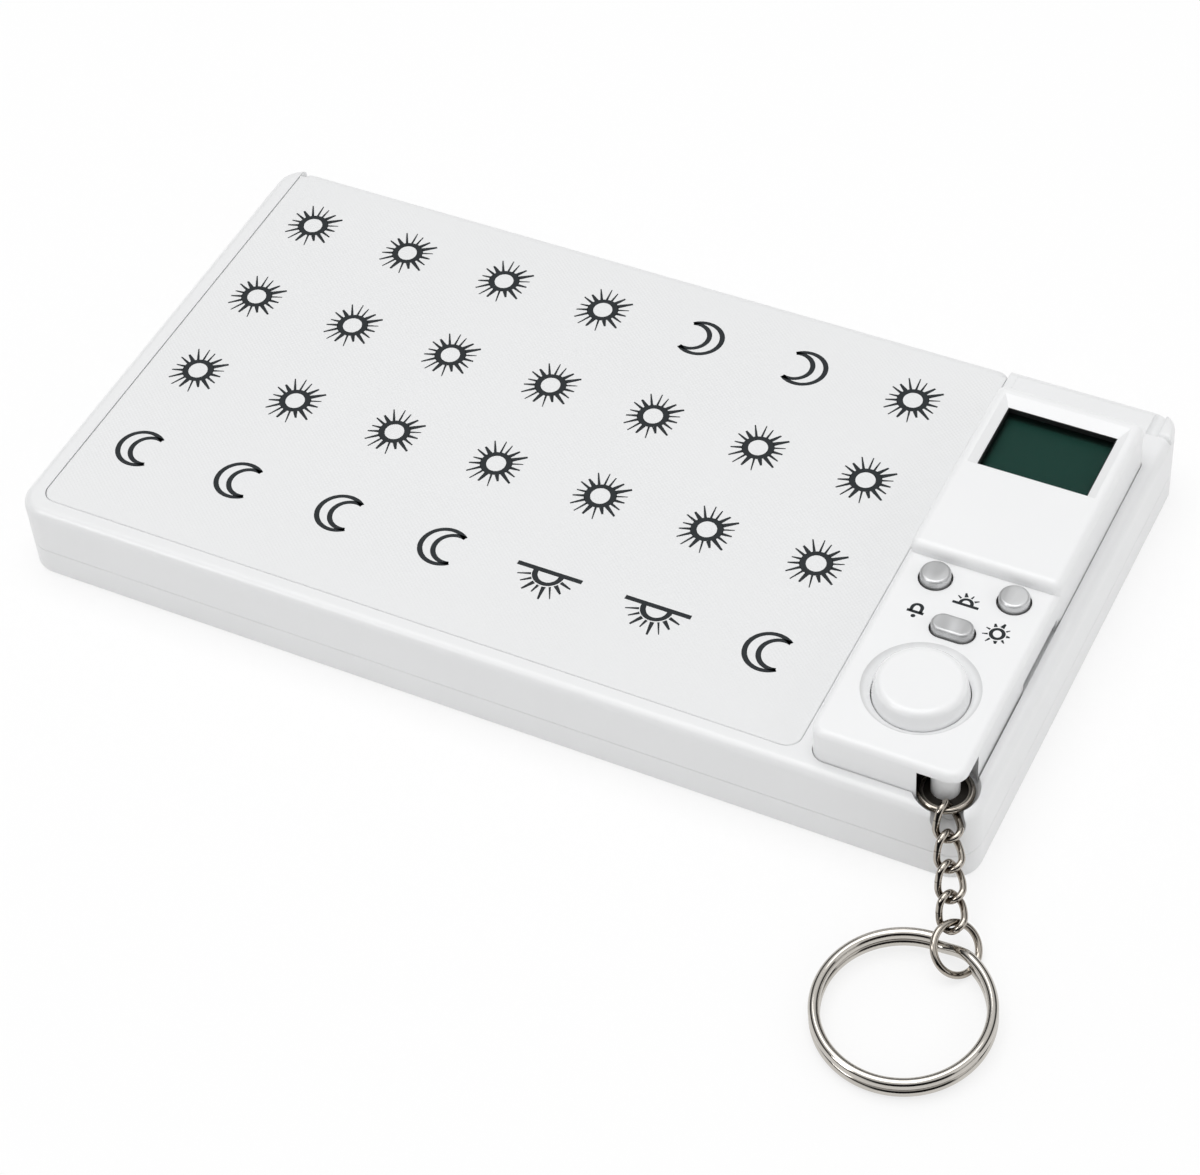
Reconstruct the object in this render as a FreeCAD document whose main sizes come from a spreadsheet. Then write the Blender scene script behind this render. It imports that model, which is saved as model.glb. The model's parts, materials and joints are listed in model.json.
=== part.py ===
"""Weekly pill case with a lift-out reminder timer and a key chain.

Millimetres. The origin is the middle of the case's footprint on the table, +X runs along the long side
to the timer, +Y to the hinged back edge and +Z up.
"""
import FreeCAD, Part
import math
import os
import re

Vector = FreeCAD.Vector
Placement = FreeCAD.Placement
Rotation = FreeCAD.Rotation

# Driving sizes, by the piece that carries them.
SIZES = {
    # case
    "case_length": 155.0,
    "case_depth": 85.0,
    "case_height": 13.65,
    "corner_radius": 4.5,
    "rim_round": 1.5,
    "base_round": 0.8,
    "seam_round": 0.2,
    "wall": 2.0,
    "base_thickness": 1.5,
    "bay_wall": 2.3,
    "bay_front_wall": 2.3,
    "bay_floor": 1.6,
    "land_width": 1.8,
    "ledge_width": 1.0,
    "ledge_thickness": 1.4,
    # bar behind the timer, with its rounded end
    "rear_bar_depth": 10.9,
    "bar_rise": 0.1,
    "bar_round": 0.3,
    "bar_start_gap": 1.2,
    "bar_end_inset": 3.9,
    "bar_back_inset": 1.3,
    "bar_roof": 1.6,
    "knob_length": 2.5,
    "knob_depth": 5.5,
    "knob_rise": 0.5,
    "knob_drop": 0.9,
    "knob_round": 0.9,
    "knob_groove_radius": 1.0,
    "knob_groove_gap": 0.6,
    "knob_groove_rise": 0.35,
    # lid and its hinge
    "lid_thickness": 1.8,
    "lid_side_margin": 3.2,
    "lid_front_margin": 3.0,
    "lid_corner": 2.3,
    "lid_edge_round": 0.25,
    "lid_gap": 0.1,
    "lid_seat_gap": 0.1,
    "barrel_radius": 2.0,
    "barrel_inset": 0.3,
    "barrel_round": 1.7,
    "hinge_gap": 0.3,
    "pin_radius": 0.8,
    "pin_fit": 0.02,
    "hinge_fit": 0.05,
    "pin_seat": 1.8,
    "pin_reach": 4.0,
    # pill tray
    "tray_gap": 0.3,
    "tray_lift": 0.1,
    "tray_wall": 0.8,
    "tray_corner": 1.5,
    "tray_top_gap": 0.4,
    "divider_thickness": 0.8,
    "divider_fit": 0.05,
    # screws
    "screw_radius": 0.95,
    "screw_head_radius": 2.1,
    "screw_head_height": 1.3,
    "screw_sunk": 0.6,
    "screw_fit": 0.02,
    "screw_hole_gap": 0.2,
    "screw_tip_gap": 0.3,
    "case_boss_radius": 3.2,
    "case_screw_inset": 5.0,
    "small_screw_radius": 0.6,
    "small_head_radius": 1.2,
    "small_head_height": 0.8,
    "small_sunk": 0.3,
    "drive_width": 0.4,
    "drive_depth": 0.5,
    # timer body
    "timer_width": 22.95,
    "timer_side_gap": 0.1,
    "timer_seat_gap": 0.1,
    "timer_bottom_height": 5.3,
    "split_drop": 1.45,
    "timer_wall": 1.2,
    "timer_corner": 2.5,
    "deck_inset": 0.12,
    "deck_height": 5.85,
    "deck_plate": 1.5,
    "deck_round": 1.1,
    "display_height": 7.85,
    "display_plate": 1.5,
    "display_corner": 1.3,
    "display_round": 1.35,
    "boss_radius": 1.5,
    "boss_shoulder": 0.5,
    "boss_edge_gap": 1.6,
    "notch_length": 13.2,
    "notch_depth": 0.7,
    "notch_rise": 1.3,
    # display
    "window_width": 17.0,
    "window_depth": 13.2,
    "window_back_inset": 4.0,
    "bevel_side": 1.35,
    "bevel_back": 2.1,
    "bevel_drop": 0.7,
    "glass_margin": 0.9,
    "glass_thickness": 0.95,
    "glass_gap": 0.05,
    "lcd_margin": 1.0,
    "lcd_thickness": 1.5,
    "zebra_width": 1.6,
    "zebra_inset": 0.4,
    "zebra_end_inset": 1.5,
    # circuit board and what it carries
    "board_thickness": 1.0,
    "board_drop": 0.6,
    "board_gap": 0.2,
    "switch_width": 4.4,
    "switch_height": 2.5,
    "switch_floor": 0.4,
    "plunger_radius": 1.2,
    "plunger_gap": 0.15,
    "plunger_length": 1.9,
    "plunger_rise": 1.0,
    "buzzer_radius": 6.0,
    "buzzer_height": 3.0,
    "buzzer_port_radius": 0.8,
    "cell_radius": 8.0,
    "cell_height": 3.2,
    "cell_rim": 0.8,
    "cell_gap": 0.1,
    "contact_width": 4.0,
    "contact_length": 8.0,
    "contact_thickness": 0.3,
    "hatch_side": 18.6,
    "hatch_tail": 4.4,
    "hatch_boss_gap": 0.3,
    "hatch_thickness": 0.7,
    "hatch_lip": 1.0,
    "hatch_gap": 0.15,
    # buttons
    "main_radius": 6.9,
    "main_rise": 1.9,
    "main_draft": 0.55,
    "main_round": 1.2,
    "main_stem_radius": 2.0,
    "main_depth": 2.3,
    "ear_width": 3.0,
    "ear_reach": 0.8,
    "dish_radius": 8.45,
    "dish_depth": 1.15,
    "button_gap": 0.12,
    "small_radius": 2.25,
    "small_gap": 0.28,
    "small_rise": 1.4,
    "small_round": 0.5,
    "small_pitch": 11.9,
    "oval_length": 6.3,
    "oval_width": 3.45,
    "flange_reach": 0.5,
    "flange_height": 0.9,
    "flange_gap": 0.2,
    "stem_radius": 1.2,
    # key chain
    "post_radius": 2.05,
    "post_side_inset": 3.8,
    "post_front_inset": 3.4,
    "pocket_radius": 4.5,
    "pocket_wall": 1.0,
    "scoop_radius": 5.1,
    "scoop_rise": 1.7,
    "groove_radius": 2.4,
    "groove_length": 9.0,
    "ring_outer": 8.2,
    "ring_wire": 1.05,
    "ring_shift": 0.75,
    "ring_gap": 0.05,
    "link_wire": 1.0,
    "link_length": 6.25,
    "link_width": 4.4,
    "link_seam": 0.06,
    "hook_gap": 0.12,
    "ring_hook_gap": 0.2,
    "split_outer": 25.4,
    "split_wire": 1.6,
    "split_coil_gap": 0.06,
    # shared
    "overrun": 1.0,
}

# Places along a piece, as shares of its own size, and counts.
COLUMN_COUNT = 7
ROW_COUNT = 4
LINK_COUNT = 4
SCREW_RUN_SHARES = (0.12, 0.88)
MAIN_RUN_SHARE = 0.182
FRONT_BOSS_RUN_SHARE = 0.294
OVAL_RUN_SHARE = 0.342
BUZZER_RUN_SHARE = 0.36
SMALL_RUN_SHARE = 0.459
DISPLAY_RUN_SHARE = 0.506
QUARTERS_PER_TURN = 4
EIGHTHS_PER_END = 4

# Directions of the key chain as it lies, in degrees. Headings are measured from +X on the table.
CHAIN_HEADING = -64.6
CONNECTOR_TILT = 42.0
CONNECTOR_HEADING = -18.7
CONNECTOR_HOOK_ANGLE = 60.5
LINK_TWIST = -50.0
FIRST_LINK_ROLL = -26.0
LAST_LINK_ROLL = -6.0
SPLIT_TURN = 4.5
SPLIT_LIFT = 2.5
# Where the split ring's lower end lies, counted round the ring from the connector, and how long its step is.
SPLIT_END_ANGLE = 14.0
SPLIT_STEP = 28.0
# Where the split ring's coils cross the connector ring, as shares of that ring's radius.
SPLIT_CROSS_OUT_SHARE = -0.05
SPLIT_CROSS_LOW_SHARE = 0.06
STEP_SLOPE_SHARE = 1.6

doc = FreeCAD.newDocument("pill_organizer")
sheet = doc.addObject("Spreadsheet::Sheet", "sizes")
for row, (alias, value) in enumerate(SIZES.items(), 1):
    sheet.set(f"A{row}", alias)
    sheet.set(f"B{row}", str(value))
    sheet.setAlias(f"B{row}", alias)
doc.recompute()


class Sizes:
    """Reads a driving size from the sheet by its alias."""

    def __getattr__(self, name):
        return float(sheet.get(name))


size = Sizes()
ALIASES = re.compile(r"\b(" + "|".join(SIZES) + r")\b")
TOUCH = 1e-6
ALONG_X = Rotation(Vector(0, 1, 0), 90)
ALONG_Y = Rotation(Vector(1, 0, 0), -90)
ALONG_Z = Rotation()

# Planes that several pieces share, as formulas on the sheet.
LEFT = "(-case_length / 2)"
RIGHT = "(case_length / 2)"
FRONT = "(-case_depth / 2)"
BACK = "(case_depth / 2)"
TIMER_RIGHT = f"({RIGHT} - bay_wall - timer_side_gap)"
TIMER_LEFT = f"({TIMER_RIGHT} - timer_width)"
TIMER_MIDDLE = f"({TIMER_RIGHT} - timer_width / 2)"
TIMER_FRONT = f"({FRONT} + bay_front_wall + timer_side_gap)"
BAY_BACK = f"({BACK} - rear_bar_depth)"
TIMER_BACK = f"({BAY_BACK} - timer_side_gap)"
TIMER_LENGTH = f"({TIMER_BACK} - {TIMER_FRONT})"
DISPLAY_FRONT = f"({TIMER_FRONT} + {DISPLAY_RUN_SHARE} * {TIMER_LENGTH})"
BAY_LEFT = f"({TIMER_LEFT} - timer_side_gap)"
POCKET_RIGHT = f"({BAY_LEFT} - land_width)"
LID_LEFT = f"({LEFT} + lid_side_margin)"
LID_RIGHT = f"({POCKET_RIGHT} - lid_gap)"
LID_FRONT = f"({FRONT} + lid_front_margin)"
LID_UNDER = "(case_height - lid_thickness)"
HINGE_Y = f"({BACK} - barrel_inset - barrel_radius)"
HINGE_Z = "(case_height - barrel_radius)"
TIMER_SPLIT = "(case_height - split_drop)"
TIMER_BOTTOM = f"({TIMER_SPLIT} - timer_bottom_height)"
BAY_FLOOR_TOP = f"({TIMER_BOTTOM} - timer_seat_gap)"
SEAM = f"({BAY_FLOOR_TOP} - bay_floor)"
DECK_TOP = "(case_height + deck_height)"
DECK_UNDER = f"({DECK_TOP} - deck_plate)"
DISPLAY_TOP = "(case_height + display_height)"
DISPLAY_UNDER = f"({DISPLAY_TOP} - display_plate)"
TIMER_FLOOR_TOP = f"({TIMER_BOTTOM} + timer_wall)"
BOARD_BOTTOM = f"({TIMER_SPLIT} - board_drop)"
BOARD_TOP = f"({BOARD_BOTTOM} + board_thickness)"
PLUNGER_TOP = f"({BOARD_TOP} + switch_height + plunger_rise)"
POST_X = f"({TIMER_RIGHT} - post_side_inset)"
POST_Y = f"({TIMER_FRONT} + post_front_inset)"
HOLLOW_LEFT = f"({TIMER_LEFT} + timer_wall)"
HOLLOW_RIGHT = f"({TIMER_RIGHT} - deck_inset - timer_wall)"
HOLLOW_FRONT = f"({TIMER_FRONT} + timer_wall)"
HOLLOW_BACK = f"({TIMER_BACK} - timer_wall)"


def bind(item, prop, formula):
    """Tie a property to a formula on the sheet's aliases."""
    item.setExpression(prop, ALIASES.sub(r"sizes.\1", formula))


def place(item, x, y, z):
    for axis, formula in zip("xyz", (x, y, z)):
        bind(item, "Placement.Base." + axis, formula)


def block(name, x, y, z):
    """A box; x, y and z are pairs of formulas, its low and high planes."""
    item = doc.addObject("Part::Box", name)
    for prop, (low, high) in zip(("Length", "Width", "Height"), (x, y, z)):
        bind(item, prop, f"({high}) - ({low})")
    place(item, x[0], y[0], z[0])
    return item


def rod(name, radius, start, length, turn=ALONG_Z):
    """A cylinder from the start point, along +Z unless it is turned."""
    item = doc.addObject("Part::Cylinder", name)
    item.Placement = Placement(Vector(), turn)
    bind(item, "Radius", radius)
    bind(item, "Height", length)
    place(item, *start)
    return item


def upright_rod(name, radius, x, y, low, high):
    return rod(name, radius, (x, y, low), f"({high}) - ({low})")


def upright_cone(name, low_radius, high_radius, x, y, low, high):
    item = doc.addObject("Part::Cone", name)
    bind(item, "Radius1", low_radius)
    bind(item, "Radius2", high_radius)
    bind(item, "Height", f"({high}) - ({low})")
    place(item, x, y, low)
    return item


def fuse(name, *items):
    item = doc.addObject("Part::MultiFuse", name)
    item.Shapes = list(items)
    item.Refine = True
    return item


def cut(name, base, *tools):
    item = doc.addObject("Part::Cut", name)
    item.Base = base
    item.Tool = tools[0] if len(tools) == 1 else fuse(name + "_tools", *tools)
    item.Refine = True
    return item


def common(name, first, second):
    item = doc.addObject("Part::Common", name)
    item.Base = first
    item.Tool = second
    return item


def group(name, *items):
    item = doc.addObject("Part::Compound", name)
    item.Links = list(items)
    return item


def solid(name, shape):
    item = doc.addObject("Part::Feature", name)
    item.Shape = shape
    return item


def rounded(name, base, radius, picks):
    """Fillet the edges of base that picks accepts."""
    doc.recompute()
    numbers = [number for number, edge in enumerate(base.Shape.Edges, 1) if picks(edge)]
    item = doc.addObject("Part::Fillet", name)
    item.Base = base
    item.Edges = [(number, radius, radius) for number in numbers]
    return item


def is_upright(edge):
    return edge.BoundBox.XLength < TOUCH and edge.BoundBox.YLength < TOUCH


def is_across_x(edge):
    return edge.BoundBox.XLength < TOUCH


def recomputed(item):
    doc.recompute()
    return item.Shape


def at_level(level):
    return lambda edge: abs(edge.BoundBox.ZMin - level) < TOUCH and abs(edge.BoundBox.ZMax - level) < TOUCH


def at_top(item):
    return at_level(max(corner.Z for corner in recomputed(item).Vertexes))


def at_bottom(item):
    return at_level(min(corner.Z for corner in recomputed(item).Vertexes))


def front_corners(item):
    front = min(corner.Y for corner in recomputed(item).Vertexes)
    return lambda edge: is_upright(edge) and edge.BoundBox.YMax < front + TOUCH


def back_corners(item):
    back = max(corner.Y for corner in recomputed(item).Vertexes)
    return lambda edge: is_upright(edge) and edge.BoundBox.YMin > back - TOUCH


def top_but_back(item):
    """The edges of the top face, apart from the one along its back."""
    back = max(corner.Y for corner in recomputed(item).Vertexes)
    on_top = at_top(item)
    return lambda edge: on_top(edge) and edge.BoundBox.YMin < back - TOUCH


def case_outline(name, low, high):
    """The case's rounded footprint between two heights."""
    base = block(name + "_block", (LEFT, RIGHT), (FRONT, BACK), (low, high))
    return rounded(name, base, size.corner_radius, is_upright)


def rounded_block(name, x, y, z, radius):
    return rounded(name, block(name + "_block", x, y, z), radius, is_upright)


def timer_block(name, x, y, z, gap):
    """The timer's footprint, widened by gap at its corners: round in front, tighter behind."""
    base = block(name + "_block", x, y, z)
    front = rounded(name + "_front", base, size.timer_corner + gap, front_corners(base))
    return rounded(name, front, size.display_corner + gap, back_corners(front))


def screw(name, x, y, low, length, radius, head_radius, head_height):
    """A pan-head screw, head down, with a cross recess."""
    neck = f"({low}) + {head_height}"
    head = upright_rod(name + "_head", head_radius, x, y, low, neck)
    shank = upright_rod(name + "_shank", radius, x, y, neck, f"({low}) + ({length})")
    recess_z = (f"({low}) - overrun", f"({low}) + drive_depth")
    arms = []
    for label, half_x, half_y in (("wide", f"{radius}", "drive_width / 2"),
                                  ("deep", "drive_width / 2", f"{radius}")):
        arms.append(block(f"{name}_{label}", (f"({x}) - {half_x}", f"({x}) + {half_x}"),
                          (f"({y}) - {half_y}", f"({y}) + {half_y}"), recess_z))
    return cut(name, fuse(name + "_body", head, shank), *arms)


parts = {}


def case_screw_places():
    """The screws stand under the timer bay, two at each end."""
    for run_share in SCREW_RUN_SHARES:
        y = f"{TIMER_FRONT} + {run_share} * {TIMER_LENGTH}"
        percent = int(run_share * 100)
        yield f"left_{percent}", f"{TIMER_LEFT} + case_screw_inset", y
        yield f"right_{percent}", f"{TIMER_RIGHT} - case_screw_inset", y


def build_lower_shell():
    outline = case_outline("base_outline", "0", SEAM)
    foot = rounded("base_foot", outline, size.base_round, at_bottom(outline))
    outer = rounded("base_outer", foot, size.seam_round, at_top(foot))
    cavity = rounded_block("base_cavity", (f"{LEFT} + wall", f"{RIGHT} - wall"),
                           (f"{FRONT} + wall", f"{BACK} - wall"), ("base_thickness", f"{SEAM} + overrun"),
                           size.corner_radius - size.wall)
    pan = cut("base_pan", outer, cavity)
    bosses, holes = [], []
    for label, x, y in case_screw_places():
        bosses.append(upright_rod(f"base_boss_{label}", "case_boss_radius", x, y, "base_thickness / 2",
                                  SEAM))
        holes.append(upright_rod(f"base_hole_{label}", "screw_radius + screw_hole_gap", x, y, "-overrun",
                                 f"{SEAM} + overrun"))
        holes.append(upright_rod(f"base_bore_{label}", "screw_head_radius + screw_hole_gap", x, y, "-overrun",
                                 "screw_sunk + screw_head_height"))
    parts["lower_shell"] = cut("lower_shell", fuse("base_bossed", pan, *bosses), *holes)


def build_case_screws():
    length = f"{BAY_FLOOR_TOP} - screw_tip_gap - screw_sunk"
    items = [screw(f"case_screw_{label}", x, y, "screw_sunk", length, "screw_radius", "screw_head_radius",
                   "screw_head_height") for label, x, y in case_screw_places()]
    parts["case_screws"] = group("case_screws", *items)


def build_rear_bar():
    """The bar behind the timer and the rounded knob that ends it."""
    bar = block("bar_block", (f"{POCKET_RIGHT} + bar_start_gap", f"{RIGHT} - bar_end_inset"),
                (BAY_BACK, f"{BACK} - bar_back_inset"), (SEAM, "case_height + bar_rise"))
    bar = rounded("rear_bar", bar, size.bar_round, at_top(bar))
    knob = block("knob_block", (f"{RIGHT} - knob_length", f"{RIGHT} + overrun"),
                 (f"{BACK} - knob_depth", f"{BACK} + overrun"),
                 ("case_height - knob_drop", "case_height + knob_rise"))
    outline = case_outline("knob_outline", SEAM, "case_height + knob_rise + overrun")
    knob = common("knob_core", knob, outline)
    return bar, rounded("rear_knob", knob, size.knob_round, at_top(knob))


def knob_groove():
    """The round valley between the bar and its knob."""
    return rod("knob_groove", "knob_groove_radius",
               (f"{RIGHT} - knob_length - knob_groove_gap", f"{BACK} - knob_depth",
                "case_height + knob_groove_rise"), "knob_depth + overrun", ALONG_Y)


def chain_groove(name):
    """Clears the first link where it leaves the corner."""
    item = doc.addObject("Part::Cylinder", name)
    bind(item, "Radius", "groove_radius")
    bind(item, "Height", "groove_length")
    first = chain.links[0]
    item.Placement = Placement(first.top - first.axis * size.link_wire, Rotation(Vector(0, 0, 1), first.axis))
    return item


def corner_scoop():
    """A shallow dip in the rim that the ring hangs over."""
    item = doc.addObject("Part::Sphere", "corner_scoop")
    bind(item, "Radius", "scoop_radius")
    item.Placement.Base = Vector(chain.post_ring.x, chain.post_ring.y, 0)
    bind(item, "Placement.Base.z", "case_height + scoop_rise")
    return item


def build_upper_shell():
    outline = case_outline("rim_outline", SEAM, "case_height")
    top = rounded("rim_top", outline, size.rim_round, at_top(outline))
    rim = rounded("rim_outer", top, size.seam_round, at_bottom(top))
    ledge_top = f"({LID_UNDER} - lid_seat_gap)"
    ledge_bottom = f"({ledge_top} - ledge_thickness)"
    above = f"{DISPLAY_TOP} + overrun"
    well = rounded_block("pill_well", (f"{LEFT} + wall", POCKET_RIGHT), (f"{FRONT} + wall", f"{BACK} - wall"),
                         (f"{SEAM} - overrun", ledge_bottom), size.corner_radius - size.wall)
    mouth = block("pill_mouth", (f"{LID_LEFT} + ledge_width", f"{LID_RIGHT} - ledge_width"),
                  (f"{LID_FRONT} + ledge_width", HINGE_Y), (SEAM, above))
    pocket_x = (f"{LID_LEFT} - lid_gap", POCKET_RIGHT)
    past_back = f"{BACK} + corner_radius"
    pocket = rounded_block("lid_pocket", pocket_x, (f"{LID_FRONT} - lid_gap", past_back), (ledge_top, above),
                           size.lid_corner + size.lid_gap)
    notch = block("hinge_notch", pocket_x, (f"{HINGE_Y} - barrel_radius - hinge_gap", past_back),
                  (f"{HINGE_Z} - barrel_radius - hinge_gap", above))
    bay = timer_block("timer_bay", (BAY_LEFT, f"{RIGHT} - bay_wall"), (f"{FRONT} + bay_front_wall", BAY_BACK),
                      (BAY_FLOOR_TOP, above), size.timer_side_gap)
    hollow = block("bar_hollow", (f"{BAY_LEFT} + wall", f"{RIGHT} - bay_wall - wall"),
                   (f"{BAY_BACK} + bar_roof", f"{BACK} - wall"),
                   (f"{SEAM} - overrun", "case_height - bar_roof"))
    bores = []
    for label, start in (("left", f"{LID_LEFT} - lid_gap - pin_seat - pin_fit"), ("right", POCKET_RIGHT)):
        bores.append(rod(f"rim_bore_{label}", "pin_radius + pin_fit", (start, HINGE_Y, HINGE_Z),
                         "pin_seat + pin_fit + lid_gap", ALONG_X))
    for label, x, y in case_screw_places():
        bores.append(upright_rod(f"bay_hole_{label}", "screw_radius + screw_fit", x, y, f"{SEAM} - overrun",
                                 f"{BAY_FLOOR_TOP} - screw_tip_gap + screw_fit"))
    body = fuse("rim_barred", rim, *build_rear_bar())
    parts["upper_shell"] = cut("upper_shell", body, well, mouth, pocket, notch, bay, hollow,
                               knob_groove(), corner_scoop(), chain_groove("rim_groove"), *bores)


def build_lid():
    plate = block("lid_plate", (LID_LEFT, LID_RIGHT), (LID_FRONT, HINGE_Y), (LID_UNDER, "case_height"))
    plate = rounded("lid_rounded", plate, size.lid_corner, front_corners(plate))
    plate = rounded("lid_softened", plate, size.lid_edge_round, top_but_back(plate))
    barrel = rod("lid_barrel", "barrel_radius", (LID_LEFT, HINGE_Y, HINGE_Z), f"{LID_RIGHT} - {LID_LEFT}",
                 ALONG_X)
    barrel = rounded("lid_barrel_ended", barrel, size.barrel_round, is_across_x)
    bores = []
    starts = {"left": f"{LID_LEFT} - overrun", "right": f"{LID_RIGHT} - pin_reach - hinge_fit"}
    for label, start in starts.items():
        bores.append(rod(f"lid_bore_{label}", "pin_radius + hinge_fit", (start, HINGE_Y, HINGE_Z),
                         "pin_reach + hinge_fit + overrun", ALONG_X))
    parts["lid"] = cut("lid", fuse("lid_body", plate, barrel), *bores)


def build_hinge_pins():
    length = "pin_seat + lid_gap + pin_reach"
    left = rod("hinge_pin_left", "pin_radius", (f"{LID_LEFT} - lid_gap - pin_seat", HINGE_Y, HINGE_Z),
               length, ALONG_X)
    right = rod("hinge_pin_right", "pin_radius", (f"{LID_RIGHT} - pin_reach", HINGE_Y, HINGE_Z), length,
                ALONG_X)
    parts["hinge_pins"] = group("hinge_pins", left, right)


TRAY_X = (f"({LID_LEFT} + ledge_width + tray_gap)", f"({LID_RIGHT} - ledge_width - tray_gap)")
TRAY_Y = (f"({LID_FRONT} + ledge_width + tray_gap)", f"({HINGE_Y} - barrel_radius - hinge_gap - tray_gap)")
TRAY_Z = ("(base_thickness + tray_lift)", f"({LID_UNDER} - tray_top_gap)")
CELLS_X = (f"({TRAY_X[0]} + tray_wall)", f"({TRAY_X[1]} - tray_wall)")
CELLS_Y = (f"({TRAY_Y[0]} + tray_wall)", f"({TRAY_Y[1]} - tray_wall)")
CELLS_FLOOR = f"({TRAY_Z[0]} + tray_wall)"
CELLS_HALF = f"(({CELLS_FLOOR} + {TRAY_Z[1]}) / 2)"


def build_pill_tray():
    outer = rounded_block("tray_outer", TRAY_X, TRAY_Y, TRAY_Z, size.tray_corner)
    inner = rounded_block("tray_inner", CELLS_X, CELLS_Y, (CELLS_FLOOR, f"{TRAY_Z[1]} + overrun"),
                          size.tray_corner - size.tray_wall)
    parts["pill_tray"] = cut("pill_tray", outer, inner)


def divider_line(span, number, count):
    """The middle plane of a divider, as a formula."""
    return f"({span[0]} + ({span[1]} - {span[0]}) * {number} / {count})"


def around(middle, thickness):
    return (f"{middle} - ({thickness}) / 2", f"{middle} + ({thickness}) / 2")


def build_dividers():
    """Strips that cross in half-deep slots, like an egg crate."""
    slot = "divider_thickness + 2 * divider_fit"
    columns = [divider_line(CELLS_X, number, COLUMN_COUNT) for number in range(1, COLUMN_COUNT)]
    rows = [divider_line(CELLS_Y, number, ROW_COUNT) for number in range(1, ROW_COUNT)]
    strip_z = (f"{CELLS_FLOOR} + divider_fit", TRAY_Z[1])
    row_strips, column_strips = [], []
    for number, y in enumerate(rows, 1):
        strip = block(f"row_strip_{number}", (f"{CELLS_X[0]} + divider_fit", f"{CELLS_X[1]} - divider_fit"),
                      around(y, "divider_thickness"), strip_z)
        slots = [block(f"row_slot_{number}_{index}", around(x, slot), around(y, slot),
                       (CELLS_HALF, f"{TRAY_Z[1]} + overrun")) for index, x in enumerate(columns, 1)]
        row_strips.append(cut(f"row_divider_{number}", strip, *slots))
    for number, x in enumerate(columns, 1):
        strip = block(f"column_strip_{number}", around(x, "divider_thickness"),
                      (f"{CELLS_Y[0]} + divider_fit", f"{CELLS_Y[1]} - divider_fit"), strip_z)
        slots = [block(f"column_slot_{number}_{index}", around(x, slot), around(y, slot),
                       (f"{CELLS_FLOOR} - overrun", f"{CELLS_HALF} + divider_fit"))
                 for index, y in enumerate(rows, 1)]
        column_strips.append(cut(f"column_divider_{number}", strip, *slots))
    parts["row_dividers"] = group("row_dividers", *row_strips)
    parts["column_dividers"] = group("column_dividers", *column_strips)


def along_timer(share):
    """A place that share of the way from the timer's front to its back."""
    return f"({TIMER_FRONT} + {share} * {TIMER_LENGTH})"


MAIN_Y = along_timer(MAIN_RUN_SHARE)
MAIN_BOTTOM = f"({DECK_TOP} - main_depth)"
SMALL_Y = along_timer(SMALL_RUN_SHARE)
SMALL_LEFT = f"({TIMER_MIDDLE} - small_pitch / 2)"
SMALL_RIGHT = f"({TIMER_MIDDLE} + small_pitch / 2)"
SMALL_PLACES = (("left", SMALL_LEFT), ("right", SMALL_RIGHT))
OVAL_Y = along_timer(OVAL_RUN_SHARE)
FRONT_BOSS_Y = along_timer(FRONT_BOSS_RUN_SHARE)
BACK_BOSS_Y = f"({DISPLAY_FRONT} + timer_wall + boss_edge_gap)"
WINDOW_X = around(TIMER_MIDDLE, "window_width")
WINDOW_Y = (f"({TIMER_BACK} - window_back_inset - window_depth)", f"({TIMER_BACK} - window_back_inset)")
FLANGE_TOP = f"({DECK_UNDER} - flange_gap)"
FLANGE_BOTTOM = f"({FLANGE_TOP} - flange_height)"
SWITCH_PLACES = (("main", TIMER_MIDDLE, MAIN_Y), ("left", SMALL_LEFT, SMALL_Y),
                 ("right", SMALL_RIGHT, SMALL_Y), ("oval", TIMER_MIDDLE, OVAL_Y))


def boss_places():
    """The screws that hold the timer's two shells together."""
    for row, y in (("front", FRONT_BOSS_Y), ("back", BACK_BOSS_Y)):
        yield f"{row}_left", f"{HOLLOW_LEFT} + boss_edge_gap", y
        yield f"{row}_right", f"{HOLLOW_RIGHT} - boss_edge_gap", y


def boss_root(label):
    """The back pair hang from the display's roof, the front pair from the deck."""
    return DISPLAY_UNDER if label.startswith("back") else DECK_UNDER


def stadium(name, x, y, length, width, low, high):
    """An upright oval, long along X."""
    half = f"(({length}) - ({width})) / 2"
    middle = block(name + "_middle", (f"{x} - {half}", f"{x} + {half}"), around(y, width), (low, high))
    ends = [upright_rod(f"{name}_{label}", f"({width}) / 2", f"{x} {sign} {half}", y, low, high)
            for label, sign in (("left", "-"), ("right", "+"))]
    return fuse(name, middle, *ends)


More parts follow.
